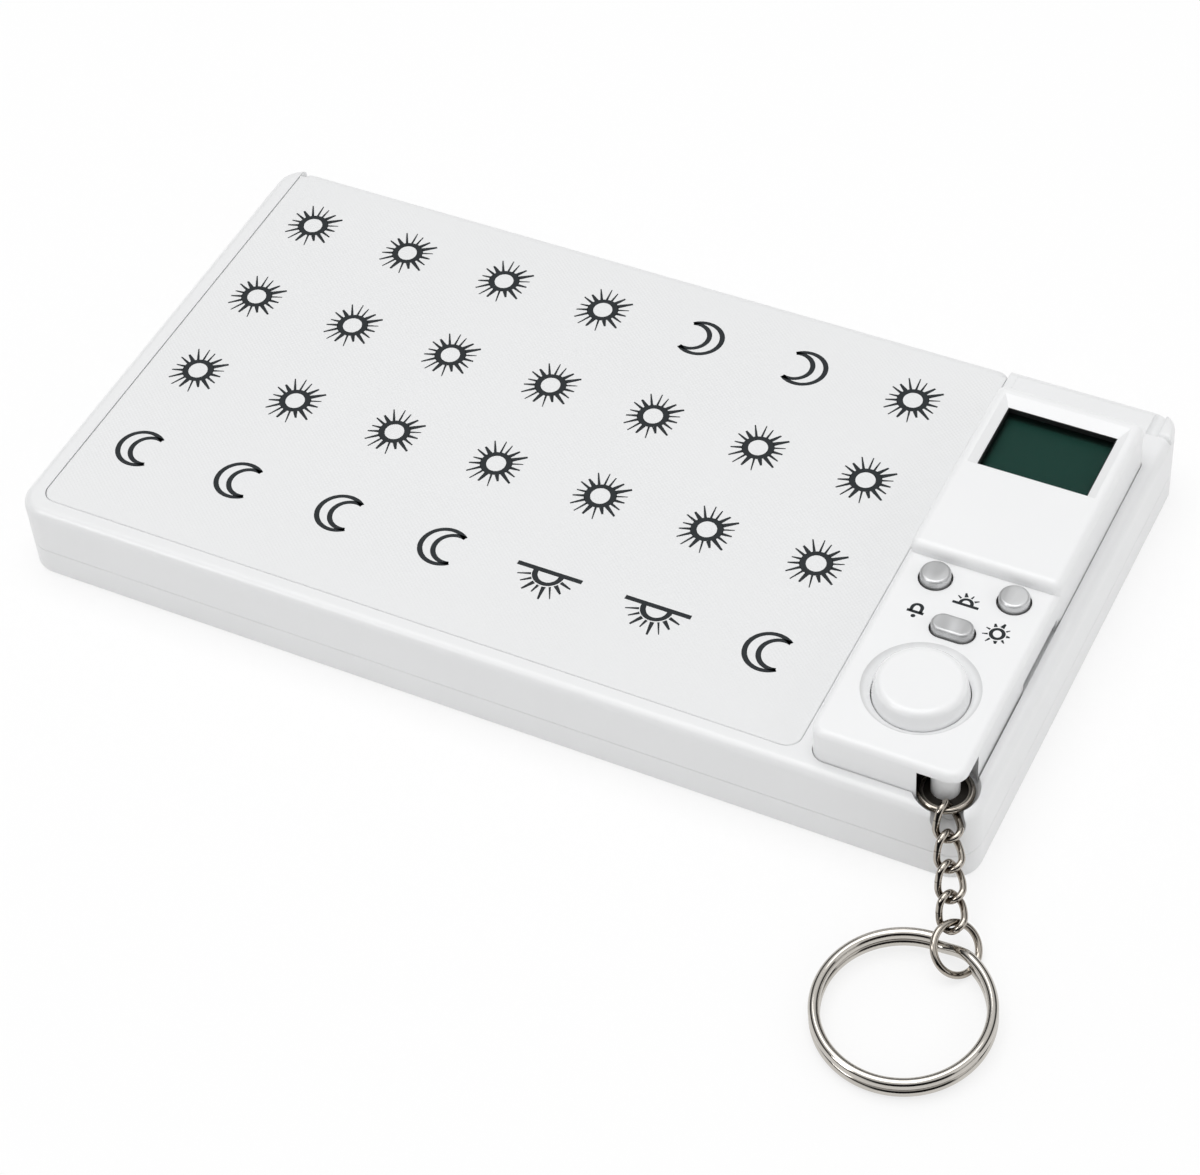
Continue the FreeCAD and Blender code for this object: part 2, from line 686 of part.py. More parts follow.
def build_timer_top_shell():
    deck = block("deck_block", (TIMER_LEFT, f"{TIMER_RIGHT} - deck_inset"),
                 (TIMER_FRONT, f"{DISPLAY_FRONT} + display_corner + overrun"), (TIMER_SPLIT, DECK_TOP))
    deck = rounded("deck_upright", deck, size.timer_corner, front_corners(deck))
    deck = rounded("deck_outer", deck, size.deck_round, top_but_back(deck))
    display = rounded_block("display_upright", (TIMER_LEFT, TIMER_RIGHT), (DISPLAY_FRONT, TIMER_BACK),
                            (TIMER_SPLIT, DISPLAY_TOP), size.display_corner)
    display = rounded("display_outer", display, size.display_round, at_top(display))
    below = f"{TIMER_SPLIT} - overrun"
    above = f"{DISPLAY_TOP} + overrun"
    hollow = block("deck_hollow", (HOLLOW_LEFT, HOLLOW_RIGHT), (HOLLOW_FRONT, HOLLOW_BACK),
                   (below, DECK_UNDER))
    display_hollow = block("display_hollow", (HOLLOW_LEFT, HOLLOW_RIGHT),
                           (f"{DISPLAY_FRONT} + timer_wall", HOLLOW_BACK), (below, DISPLAY_UNDER))
    shell = cut("top_hollowed", fuse("top_outer", deck, display), hollow, display_hollow)
    partition = upright_rod("top_partition_rod", "pocket_radius + pocket_wall", POST_X, POST_Y, TIMER_SPLIT,
                            f"{DECK_UNDER} + deck_plate / 2")
    partition = common("top_partition", partition, deck)
    bosses = [upright_rod(f"top_boss_{label}", "boss_radius", x, y, BOARD_BOTTOM,
                          f"{boss_root(label)} + deck_plate / 2") for label, x, y in boss_places()]
    cuts = [upright_rod(f"top_pilot_{label}", "small_screw_radius + screw_fit", x, y,
                        f"{BOARD_BOTTOM} - overrun", DECK_UNDER) for label, x, y in boss_places()]
    cuts.append(upright_rod("ring_pocket", "pocket_radius", POST_X, POST_Y, below, DECK_UNDER))
    cuts.append(upright_cone("main_dish", "main_radius + button_gap", "dish_radius", TIMER_MIDDLE, MAIN_Y,
                             f"{DECK_TOP} - dish_depth", DECK_TOP))
    cuts.append(upright_rod("main_hole", "main_radius + button_gap", TIMER_MIDDLE, MAIN_Y,
                            f"{MAIN_BOTTOM} - main_rise", above))
    cuts += [upright_rod(f"small_hole_{label}", "small_radius + small_gap", x, SMALL_Y, DECK_UNDER, above)
             for label, x in SMALL_PLACES]
    cuts.append(stadium("oval_hole", TIMER_MIDDLE, OVAL_Y, "oval_length + 2 * small_gap",
                        "oval_width + 2 * small_gap", DECK_UNDER, above))
    cuts.append(block("window_hole", WINDOW_X, WINDOW_Y, (DISPLAY_UNDER, above)))
    cuts.append(window_bevel())
    cuts.append(finger_notch())
    parts["timer_top_shell"] = cut("timer_top_shell", fuse("top_bossed", shell, partition, *bosses), *cuts)


def window_bevel():
    """Slopes down to the window on its back and sides."""
    item = doc.addObject("Part::Wedge", "window_bevel")
    item.Placement = Placement(Vector(), Rotation(Vector(1, 0, 0), 90))
    wide_x = (f"{WINDOW_X[0]} - bevel_side", f"{WINDOW_X[1]} + bevel_side")
    formulas = {"Ymin": f"{DISPLAY_TOP} - bevel_drop", "Ymax": DISPLAY_TOP,
                "Xmin": WINDOW_X[0], "Xmax": WINDOW_X[1], "X2min": wide_x[0], "X2max": wide_x[1],
                "Zmin": f"-{WINDOW_Y[1]}", "Zmax": f"-{WINDOW_Y[0]}",
                "Z2min": f"-{WINDOW_Y[1]} - bevel_back", "Z2max": f"-{WINDOW_Y[0]}"}
    for prop, formula in formulas.items():
        bind(item, prop, formula)
    return item


def finger_notch():
    """The nail slot at the foot of the deck's outer side."""
    end = f"{DISPLAY_FRONT} - deck_inset"
    return block("finger_notch", (f"{TIMER_RIGHT} - deck_inset - notch_depth", f"{TIMER_RIGHT} + overrun"),
                 (f"{end} - notch_length", end), (f"{TIMER_SPLIT} - overrun", "case_height + notch_rise"))


HATCH_X = around(TIMER_MIDDLE, "hatch_side")
HATCH_FRONT = f"({BACK_BOSS_Y} + boss_radius + boss_shoulder + hatch_boss_gap)"
HATCH_Y = (HATCH_FRONT, f"({HATCH_FRONT} + hatch_side + hatch_tail)")
HATCH_TOP = f"({TIMER_BOTTOM} + hatch_thickness)"
HATCH_SCREW_Y = f"({HATCH_Y[1]} - hatch_tail / 2)"
CELL_Y = f"({HATCH_FRONT} + hatch_side / 2)"


def widened(span, gap):
    return (f"{span[0]} - ({gap})", f"{span[1]} + ({gap})")


def build_timer_bottom_shell():
    outer = timer_block("bottom_outer", (TIMER_LEFT, TIMER_RIGHT), (TIMER_FRONT, TIMER_BACK),
                        (TIMER_BOTTOM, TIMER_SPLIT), 0)
    hollow = block("bottom_hollow", (HOLLOW_LEFT, HOLLOW_RIGHT), (HOLLOW_FRONT, HOLLOW_BACK),
                   (TIMER_FLOOR_TOP, f"{TIMER_SPLIT} + overrun"))
    corner = upright_rod("bottom_corner_rod", "pocket_radius + pocket_wall", POST_X, POST_Y, TIMER_BOTTOM,
                         TIMER_SPLIT)
    corner = common("bottom_corner", corner, outer)
    bosses, cuts = [], []
    for label, x, y in boss_places():
        bosses.append(upright_rod(f"bottom_boss_{label}", "boss_radius + boss_shoulder", x, y, TIMER_BOTTOM,
                                  BOARD_BOTTOM))
        cuts.append(upright_rod(f"bottom_hole_{label}", "small_screw_radius + screw_hole_gap", x, y,
                                f"{TIMER_BOTTOM} - overrun", f"{TIMER_SPLIT} + overrun"))
        cuts.append(upright_rod(f"bottom_bore_{label}", "small_head_radius + screw_hole_gap", x, y,
                                f"{TIMER_BOTTOM} - overrun",
                                f"{TIMER_BOTTOM} + small_sunk + small_head_height"))
    cuts.append(block("hatch_recess", widened(HATCH_X, "hatch_gap"), widened(HATCH_Y, "hatch_gap"),
                      (f"{TIMER_BOTTOM} - overrun", f"{HATCH_TOP} + hatch_gap")))
    cuts.append(block("cell_opening", widened(HATCH_X, "-hatch_lip"),
                      (f"{HATCH_Y[0]} + hatch_lip", f"{HATCH_Y[1]} - hatch_tail - hatch_lip"),
                      (TIMER_BOTTOM, f"{TIMER_FLOOR_TOP} + overrun")))
    bosses.append(upright_rod("hatch_boss", "boss_radius + boss_shoulder", TIMER_MIDDLE, HATCH_SCREW_Y,
                              TIMER_BOTTOM, BOARD_BOTTOM))
    cuts.append(upright_rod("hatch_pilot", "small_screw_radius + screw_fit", TIMER_MIDDLE, HATCH_SCREW_Y,
                            f"{TIMER_BOTTOM} - overrun", f"{BOARD_BOTTOM} - screw_fit"))
    cuts.append(chain_groove("bottom_groove"))
    shell = fuse("bottom_bossed", cut("bottom_pan", outer, hollow), corner, *bosses)
    parts["timer_bottom_shell"] = cut("timer_bottom_shell", shell, *cuts)


def build_battery():
    plate = block("hatch_plate", HATCH_X, HATCH_Y, (TIMER_BOTTOM, HATCH_TOP))
    hole = upright_rod("hatch_hole", "small_screw_radius + screw_hole_gap", TIMER_MIDDLE, HATCH_SCREW_Y,
                       f"{TIMER_BOTTOM} - overrun", f"{HATCH_TOP} + overrun")
    bore = upright_rod("hatch_bore", "small_head_radius + screw_hole_gap", TIMER_MIDDLE, HATCH_SCREW_Y,
                       f"{TIMER_BOTTOM} - overrun", f"{TIMER_BOTTOM} + hatch_thickness / 2")
    parts["battery_cover"] = cut("battery_cover", plate, hole, bore)
    head_low = f"({TIMER_BOTTOM} + hatch_thickness / 2 - small_head_height / 2)"
    parts["battery_cover_screw"] = screw("battery_cover_screw", TIMER_MIDDLE, HATCH_SCREW_Y, head_low,
                                         f"{BOARD_BOTTOM} - screw_tip_gap - {head_low}", "small_screw_radius",
                                         "small_head_radius", "small_head_height / 2")
    low = f"({HATCH_TOP} + cell_gap)"
    can = upright_rod("cell_can", "cell_radius", TIMER_MIDDLE, CELL_Y, low, f"{low} + cell_height - cell_rim")
    cap = upright_rod("cell_cap", "cell_radius - cell_rim", TIMER_MIDDLE, CELL_Y, low, f"{low} + cell_height")
    parts["coin_cell"] = fuse("coin_cell", can, cap)
    top = f"({low} + cell_height)"
    leaf_top = f"({top} + contact_thickness)"
    leaf_y = around(CELL_Y, "contact_width")
    end = f"({TIMER_MIDDLE} + contact_length / 2)"
    leaf = block("contact_leaf", (f"{end} - contact_length", end), leaf_y, (top, leaf_top))
    leg = block("contact_leg", (f"{end} - contact_thickness", end), leaf_y, (top, BOARD_BOTTOM))
    side = f"({TIMER_MIDDLE} - cell_radius - cell_gap)"
    clip = block("contact_clip", (f"{side} - contact_thickness", side), leaf_y,
                 (TIMER_FLOOR_TOP, BOARD_BOTTOM))
    parts["battery_contacts"] = group("battery_contacts", fuse("contact_spring", leaf, leg), clip)


def build_timer_screws():
    low = f"({TIMER_BOTTOM} + small_sunk)"
    length = f"{DECK_UNDER} - screw_tip_gap - {low}"
    items = [screw(f"timer_screw_{label}", x, y, low, length, "small_screw_radius", "small_head_radius",
                   "small_head_height") for label, x, y in boss_places()]
    parts["timer_screws"] = group("timer_screws", *items)


def build_circuit_board():
    front = f"({POST_Y} + pocket_radius + pocket_wall + board_gap)"
    board = block("board_plate", (f"{HOLLOW_LEFT} + board_gap", f"{HOLLOW_RIGHT} - board_gap"),
                  (front, f"{HOLLOW_BACK} - board_gap"), (BOARD_BOTTOM, BOARD_TOP))
    holes = [upright_rod(f"board_hole_{label}", "boss_radius + board_gap", x, y, f"{BOARD_BOTTOM} - overrun",
                         f"{BOARD_TOP} + overrun") for label, x, y in boss_places()]
    parts["circuit_board"] = cut("circuit_board", board, *holes)
    bodies = []
    for label, x, y in SWITCH_PLACES:
        body = block(f"switch_block_{label}", around(x, "switch_width"), around(y, "switch_width"),
                     (BOARD_TOP, f"{BOARD_TOP} + switch_height"))
        hole = upright_rod(f"switch_hole_{label}", "plunger_radius + plunger_gap", x, y,
                           f"{BOARD_TOP} + switch_floor", f"{BOARD_TOP} + switch_height + overrun")
        bodies.append(cut(f"switch_{label}", body, hole))
        parts[f"{label}_switch_plunger"] = upright_rod(f"{label}_switch_plunger", "plunger_radius", x, y,
                                                       f"{PLUNGER_TOP} - plunger_length", PLUNGER_TOP)
    parts["tact_switches"] = group("tact_switches", *bodies)
    buzzer_y = along_timer(BUZZER_RUN_SHARE)
    buzzer_low = f"({BOARD_BOTTOM} - buzzer_height)"
    can = upright_rod("buzzer_can", "buzzer_radius", TIMER_MIDDLE, buzzer_y, buzzer_low, BOARD_BOTTOM)
    port = upright_rod("buzzer_port", "buzzer_port_radius", TIMER_MIDDLE, buzzer_y, f"{buzzer_low} - overrun",
                       f"{buzzer_low} + buzzer_height / 2")
    parts["buzzer"] = cut("buzzer", can, port)


def build_display():
    glass_top = f"({DISPLAY_UNDER} - glass_gap)"
    glass_bottom = f"({glass_top} - glass_thickness)"
    parts["display_window"] = block("display_window", widened(WINDOW_X, "glass_margin"),
                                    widened(WINDOW_Y, "glass_margin"), (glass_bottom, glass_top))
    lcd_top = f"({glass_bottom} - glass_gap)"
    lcd_bottom = f"({lcd_top} - lcd_thickness)"
    lcd_x = widened(WINDOW_X, "lcd_margin")
    lcd_y = widened(WINDOW_Y, "lcd_margin + zebra_width")
    parts["lcd_panel"] = block("lcd_panel", lcd_x, lcd_y, (lcd_bottom, lcd_top))
    strips = []
    lows = {"front": f"{lcd_y[0]} + zebra_inset", "back": f"{lcd_y[1]} - zebra_inset - zebra_width"}
    for label, low in lows.items():
        strips.append(block(f"zebra_{label}", widened(lcd_x, "-zebra_end_inset"),
                            (low, f"{low} + zebra_width"), (BOARD_TOP, lcd_bottom)))
    parts["zebra_strips"] = group("zebra_strips", *strips)


def build_buttons():
    dish_floor = f"({DECK_TOP} - dish_depth)"
    cap = upright_cone("main_cap", "main_radius", "main_radius - main_draft", TIMER_MIDDLE, MAIN_Y,
                       dish_floor, f"{DECK_TOP} + main_rise")
    cap = rounded("main_cap_round", cap, size.main_round, at_top(cap))
    skirt = upright_rod("main_skirt", "main_radius", TIMER_MIDDLE, MAIN_Y, MAIN_BOTTOM, dish_floor)
    stem = upright_rod("main_stem", "main_stem_radius", TIMER_MIDDLE, MAIN_Y, PLUNGER_TOP,
                       f"{MAIN_BOTTOM} + main_round")
    ears = block("main_ears", around(TIMER_MIDDLE, "2 * (main_radius + ear_reach)"),
                 around(MAIN_Y, "ear_width"), (FLANGE_BOTTOM, FLANGE_TOP))
    parts["main_button"] = fuse("main_button", cap, skirt, stem, ears)
    for label, x in SMALL_PLACES:
        cap = upright_rod(f"{label}_cap", "small_radius", x, SMALL_Y, FLANGE_BOTTOM,
                          f"{DECK_TOP} + small_rise")
        cap = rounded(f"{label}_cap_round", cap, size.small_round, at_top(cap))
        flange = upright_rod(f"{label}_flange", "small_radius + flange_reach", x, SMALL_Y, FLANGE_BOTTOM,
                             FLANGE_TOP)
        stem = upright_rod(f"{label}_stem", "stem_radius", x, SMALL_Y, PLUNGER_TOP, FLANGE_TOP)
        parts[f"{label}_button"] = fuse(f"{label}_button", cap, flange, stem)
    cap = stadium("oval_cap", TIMER_MIDDLE, OVAL_Y, "oval_length", "oval_width", FLANGE_BOTTOM,
                  f"{DECK_TOP} + small_rise")
    cap = rounded("oval_cap_round", cap, size.small_round, at_top(cap))
    flange = stadium("oval_flange", TIMER_MIDDLE, OVAL_Y, "oval_length + 2 * flange_reach",
                     "oval_width + 2 * flange_reach", FLANGE_BOTTOM, FLANGE_TOP)
    stem = upright_rod("oval_stem", "stem_radius", TIMER_MIDDLE, OVAL_Y, PLUNGER_TOP, FLANGE_TOP)
    parts["oval_button"] = fuse("oval_button", cap, flange, stem)


def heading(degrees):
    return Vector(math.cos(math.radians(degrees)), math.sin(math.radians(degrees)), 0)


def turned(vector, axis, degrees):
    return Rotation(axis, degrees).multVec(vector)


class Link:
    """One curb link: the wire's mid-points at its two ends and the axis between them."""

    def __init__(self, top, axis):
        self.top = top
        self.axis = axis
        self.bottom = top + axis * (size.link_length - size.link_wire)


class Chain:
    """Where the key chain's pieces lie, worked out from the post to the split ring."""

    def __init__(self):
        self.away = heading(CHAIN_HEADING)
        self.across = self.away.cross(Vector(0, 0, 1))
        timer_right = size.case_length / 2 - size.bay_wall - size.timer_side_gap
        timer_front = -size.case_depth / 2 + size.bay_front_wall + size.timer_side_gap
        pocket_floor = size.case_height - size.split_drop
        post = Vector(timer_right - size.post_side_inset, timer_front + size.post_front_inset, 0)
        self.ring_radius = (size.ring_outer - size.ring_wire) / 2
        self.post_ring = post + self.away * size.ring_shift
        self.post_ring.z = pocket_floor + size.ring_wire / 2 + size.ring_gap
        self.ring_front = self.post_ring + self.away * self.ring_radius
        self.place_connector_axes()
        self.place_links()
        self.place_connector()
        self.place_split()

    def place_connector_axes(self):
        self.coil_run = heading(CONNECTOR_HEADING)
        self.outward = Vector(0, 0, 1).cross(self.coil_run)
        self.low_side = turned(self.coil_run, self.outward, CONNECTOR_TILT)
        angle = math.radians(CONNECTOR_HOOK_ANGLE)
        self.to_hook = self.outward * math.cos(angle) - self.low_side * math.sin(angle)
        self.connector_height = size.ring_wire / 2 + size.ring_gap - self.low_side.z * self.ring_radius

    def place_links(self):
        """A straight run whose slope ends at the connector ring's raised side."""
        ring_hook = (size.ring_wire + size.link_wire) / 2 + size.ring_hook_gap
        link_hook = size.link_wire + size.hook_gap
        span = size.link_length - size.link_wire
        length = LINK_COUNT * span - (LINK_COUNT - 1) * link_hook - 2 * ring_hook
        hook_height = self.connector_height + self.to_hook.z * self.ring_radius
        slope = math.asin((self.ring_front.z - hook_height) / length)
        axis = self.away * math.cos(slope) - Vector(0, 0, 1) * math.sin(slope)
        self.links = []
        top = self.ring_front - axis * ring_hook
        for number in range(LINK_COUNT):
            self.links.append(Link(top, axis))
            top = self.links[-1].bottom - axis * link_hook
        self.connector_hook = self.links[-1].bottom - axis * ring_hook

    def place_connector(self):
        self.connector = self.connector_hook - self.to_hook * self.ring_radius
        self.connector_normal = self.outward.cross(self.low_side)

    def place_split(self):
        self.coil_pitch = size.split_wire + size.split_coil_gap
        self.split_radius = (size.split_outer - size.split_wire) / 2
        self.crossing = self.connector + (self.outward * SPLIT_CROSS_OUT_SHARE
                                          + self.low_side * SPLIT_CROSS_LOW_SHARE) * self.ring_radius
        lift = math.radians(SPLIT_LIFT)
        upward = Vector(0, 0, 1)
        self.split_run = turned(self.coil_run, upward, SPLIT_TURN)
        self.split_out = turned(self.outward, upward, SPLIT_TURN) * math.cos(lift) + upward * math.sin(lift)
        self.split_up = self.split_run.cross(self.split_out)
        self.split_centre = self.crossing - self.split_out * self.split_radius


def arc(first, middle, last):
    return Part.Arc(first, middle, last).toShape()


def biarc(first, first_tangent, last, last_tangent):
    """Two arcs that join two points with given unit tangents and meet smoothly between them."""
    chord = last - first
    both = first_tangent + last_tangent
    square = 2 * (1 - first_tangent.dot(last_tangent))
    reach = chord.dot(both)
    if square < TOUCH:
        handle = chord.dot(chord) / (4 * chord.dot(last_tangent))
    else:
        handle = (math.sqrt(reach * reach + square * chord.dot(chord)) - reach) / square
    start_handle = first + first_tangent * handle
    end_handle = last - last_tangent * handle
    joint = (start_handle + end_handle) * 0.5
    joint_tangent = (end_handle - joint).normalize()
    return [tangent_arc(first, first_tangent, joint), tangent_arc(joint, joint_tangent, last)]


def tangent_arc(first, tangent, last):
    """The arc from first to last that leaves first along tangent."""
    chord = last - first
    side = chord - tangent * chord.dot(tangent)
    sideways = Vector(side).normalize()
    radius = chord.dot(chord) / (2 * chord.dot(sideways))
    centre = first + sideways * radius
    middle_direction = ((first + last) * 0.5 - centre).normalize()
    return arc(first, centre + middle_direction * radius, last)


def smooth_path(spots):
    """Arcs through points with given unit tangents."""
    edges = []
    for first, last in zip(spots, spots[1:]):
        edges += biarc(*first, *last)
    return edges


def tube(edges, wire, start, tangent):
    """A round wire swept along the edges."""
    profile = Part.Wire(Part.Circle(start, tangent, wire / 2).toShape())
    return Part.Wire(edges).makePipeShell([profile], True, False)


def build_curb_link(number, link):
    """A plain oval twisted about its length; the wire's ends meet half-way along one side."""
    axis = link.axis
    middle = (link.top + link.bottom) * 0.5
    half_length = (size.link_length - size.link_wire) / 2
    end_radius = (size.link_width - size.link_wire) / 2
    straight = half_length - end_radius
    along_share = (number - 1) / (LINK_COUNT - 1)
    roll = FIRST_LINK_ROLL + (LAST_LINK_ROLL - FIRST_LINK_ROLL) * along_share
    flat = turned(chain.across, axis, roll)
    twist = math.radians(LINK_TWIST) / half_length

    def spot(angle, shift):
        """A point of a round end, with that end's shift along the link, and the way the wire runs there."""
        rise, aside = math.sin(angle), math.cos(angle)
        along = shift + end_radius * rise
        side = turned(flat, axis, LINK_TWIST * along / half_length)
        ahead = axis.cross(side) * end_radius * twist * aside * aside - axis * aside - side * rise
        return middle - axis * along + side * end_radius * aside, ahead.normalize()

    eighth = math.pi / EIGHTHS_PER_END
    spots = [spot(0, size.link_seam / 2)]
    spots += [spot(eighth * step, straight) for step in range(EIGHTHS_PER_END + 1)]
    spots += [spot(math.pi + eighth * step, -straight) for step in range(EIGHTHS_PER_END + 1)]
    spots.append(spot(0, -size.link_seam / 2))
    shape = tube(smooth_path(spots), size.link_wire, *spots[0])
    parts[f"chain_link_{number}"] = solid(f"chain_link_{number}", shape)


def small_ring(name, centre, normal):
    item = doc.addObject("Part::Torus", name)
    bind(item, "Radius1", "(ring_outer - ring_wire) / 2")
    bind(item, "Radius2", "ring_wire / 2")
    item.Placement = Placement(centre, Rotation(Vector(0, 0, 1), normal))
    parts[name] = item


def build_split_ring():
    """Two flat turns of round wire; the lower steps up to the upper just before its own end comes round."""
    half = chain.coil_pitch / 2
    step = math.radians(SPLIT_STEP)
    turn = math.pi * 2
    quarter = turn / QUARTERS_PER_TURN
    steep = STEP_SLOPE_SHARE * chain.coil_pitch / (step * chain.split_radius)
    stops = [(quarter * number, -half, 0) for number in range(QUARTERS_PER_TURN)]
    stops += [(turn - step, -half, 0), (turn - step / 2, 0, steep)]
    stops += [(turn + quarter * number, half, 0) for number in range(QUARTERS_PER_TURN)]
    stops.append((2 * turn - step, half, 0))

    def spot(angle, height, slope):
        angle += math.radians(SPLIT_END_ANGLE)
        out = chain.split_out * math.cos(angle) + chain.split_run * math.sin(angle)
        along = chain.split_run * math.cos(angle) - chain.split_out * math.sin(angle)
        point = chain.split_centre + out * chain.split_radius + chain.split_up * height
        return point, (along + chain.split_up * slope).normalize()

    spots = [spot(*stop) for stop in stops]
    parts["split_ring"] = solid("split_ring", tube(smooth_path(spots), size.split_wire, *spots[0]))


def build_key_chain():
    parts["lanyard_post"] = upright_rod("lanyard_post", "post_radius", POST_X, POST_Y, TIMER_SPLIT,
                                        DECK_UNDER)
    small_ring("post_ring", chain.post_ring, Vector(0, 0, 1))
    for number, link in enumerate(chain.links, 1):
        build_curb_link(number, link)
    small_ring("connector_ring", chain.connector, chain.connector_normal)
    build_split_ring()


def check_and_export():
    doc.recompute()
    for item in doc.Objects:
        if "Invalid" in item.State or "Error" in item.State:
            raise RuntimeError(f"{item.Name} failed: {item.State}")
    os.makedirs("parts", exist_ok=True)
    for name, item in parts.items():
        item.Label = name
        if item.Shape.isNull() or not item.Shape.isValid():
            raise RuntimeError(f"{name} has no valid shape")
    for name, item in parts.items():
        item.Shape.exportStep(f"parts/{name}.step")
        print(f"{name}: {len(item.Shape.Solids)} solids, {item.Shape.Volume:.1f} mm3")


chain = Chain()
build_lower_shell()
build_case_screws()
build_upper_shell()
build_lid()
build_hinge_pins()
build_pill_tray()
build_dividers()
build_timer_bottom_shell()
build_timer_top_shell()
build_battery()
build_timer_screws()
build_circuit_board()
build_display()
build_buttons()
build_key_chain()
check_and_export()
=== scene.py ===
"""Looks of a weekly pill case with a lift-out reminder timer and a key chain.

Metres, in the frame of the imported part: +X along the case to the timer, +Y to the hinged back edge, +Z up.
"""
import json
import math

import bmesh
import bpy
from mathutils import Matrix, Vector

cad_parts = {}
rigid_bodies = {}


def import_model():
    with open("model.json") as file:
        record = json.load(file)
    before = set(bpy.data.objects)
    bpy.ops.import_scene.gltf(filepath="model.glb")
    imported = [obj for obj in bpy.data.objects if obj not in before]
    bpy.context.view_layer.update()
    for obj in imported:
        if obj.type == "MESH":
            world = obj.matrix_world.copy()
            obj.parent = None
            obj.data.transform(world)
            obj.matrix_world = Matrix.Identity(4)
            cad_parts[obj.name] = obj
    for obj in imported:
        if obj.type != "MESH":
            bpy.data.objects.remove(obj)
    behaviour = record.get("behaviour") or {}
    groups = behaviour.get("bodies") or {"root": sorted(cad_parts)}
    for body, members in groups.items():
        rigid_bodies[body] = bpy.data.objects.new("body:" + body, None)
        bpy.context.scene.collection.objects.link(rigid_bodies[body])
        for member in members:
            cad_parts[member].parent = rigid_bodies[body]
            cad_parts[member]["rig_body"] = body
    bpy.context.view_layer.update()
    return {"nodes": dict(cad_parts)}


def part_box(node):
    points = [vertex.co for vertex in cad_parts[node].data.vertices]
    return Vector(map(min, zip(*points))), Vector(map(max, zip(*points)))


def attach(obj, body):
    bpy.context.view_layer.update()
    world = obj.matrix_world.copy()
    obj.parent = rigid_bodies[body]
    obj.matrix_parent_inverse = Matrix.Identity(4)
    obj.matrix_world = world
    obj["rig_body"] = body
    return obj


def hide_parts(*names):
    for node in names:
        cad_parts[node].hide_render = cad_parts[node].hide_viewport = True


bl_info = {
    "name": "Pill Case",
    "version": (1, 0, 0),
    "blender": (4, 5, 0),
    "location": "View3D > Sidebar > Pill Case",
    "description": "Finishes, prints and stage for a pill case with a reminder timer",
    "category": "Object",
}

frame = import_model()
MM = 0.001
LID_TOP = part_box("lid")[1].z
TIMER_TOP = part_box("timer_top_shell")[1].z
PANE_LOW, PANE_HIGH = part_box("display_window")
POST_LOW, POST_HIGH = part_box("lanyard_post")
RING_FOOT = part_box("post_ring")[0].z
MAIN_LOW, MAIN_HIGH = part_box("main_button")
LEFT_LOW, LEFT_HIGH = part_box("left_button")
RIGHT_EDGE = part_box("right_button")[1].x
OVAL_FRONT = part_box("oval_button")[0].y
WELD = 0.001 * MM
# How far down from its edge a wall counts as a wall.
LIP = 0.01 * MM
CREASE = math.radians(30.0)
# The slopes round the display's opening turn by less than that, and keep their edges too.
SLOPE_CREASE = math.radians(8.0)
SLOPE_REACH = Vector((0.7, 1.35, 0.0)) * MM
# How far in from its left and back edges the display's painted shadow of the opening's walls reaches.
DISPLAY_SHADOW_REACH = 0.9 * MM
# How far round a spot of the metal its neighbours reach, for the painted shade that darkens it where they
# close it in.
RING_SHADE_REACH = 0.8 * MM
LINK_SHADE_REACH = 1.6 * MM
# Brown-black of the painted shade in the metal's recesses.
RECESS_SHADE = (0.10, 0.075, 0.052, 1.0)
STEEL = (0.56, 0.56, 0.57)
WORKS_BLACK = (0.03, 0.03, 0.032)
LINER_BLACK = (0.006, 0.007, 0.007)
# Dark brown of the painted shade laid in the key chain's pocket.
POCKET_SHADE = (0.020, 0.0155, 0.011)
TABLE_WHITE = (0.95, 0.95, 0.95, 1.0)
TABLE_REACH = 4.0
# Place and width of the lamps; all of them point at the origin.
OVERHEAD_LAMP = ((-0.1, 0.0, 1.1), 0.9)
SIDE_LAMP = ((0.95, -0.1, 0.55), 0.5)
GLINT_LAMP = ((-0.5, -0.615, 0.63), 0.3)
SIDE_POWER_SHARE = 0.1
# Brightness of the surroundings as shiny surfaces mirror them, by height from the horizon up to overhead.
STUDIO_SHADES = ((0.0, 0.95), (0.14, 0.9), (0.28, 0.05), (0.5, 0.03), (0.6, 0.2), (0.72, 0.8), (0.86, 0.95),
                 (1.0, 0.6))
# Share of that brightness which stays, from beside the viewer's line to straight toward the viewer.
VIEWER_SHADES = ((0.0, 1.0), (0.66, 1.0), (0.82, 0.04), (1.0, 0.04))


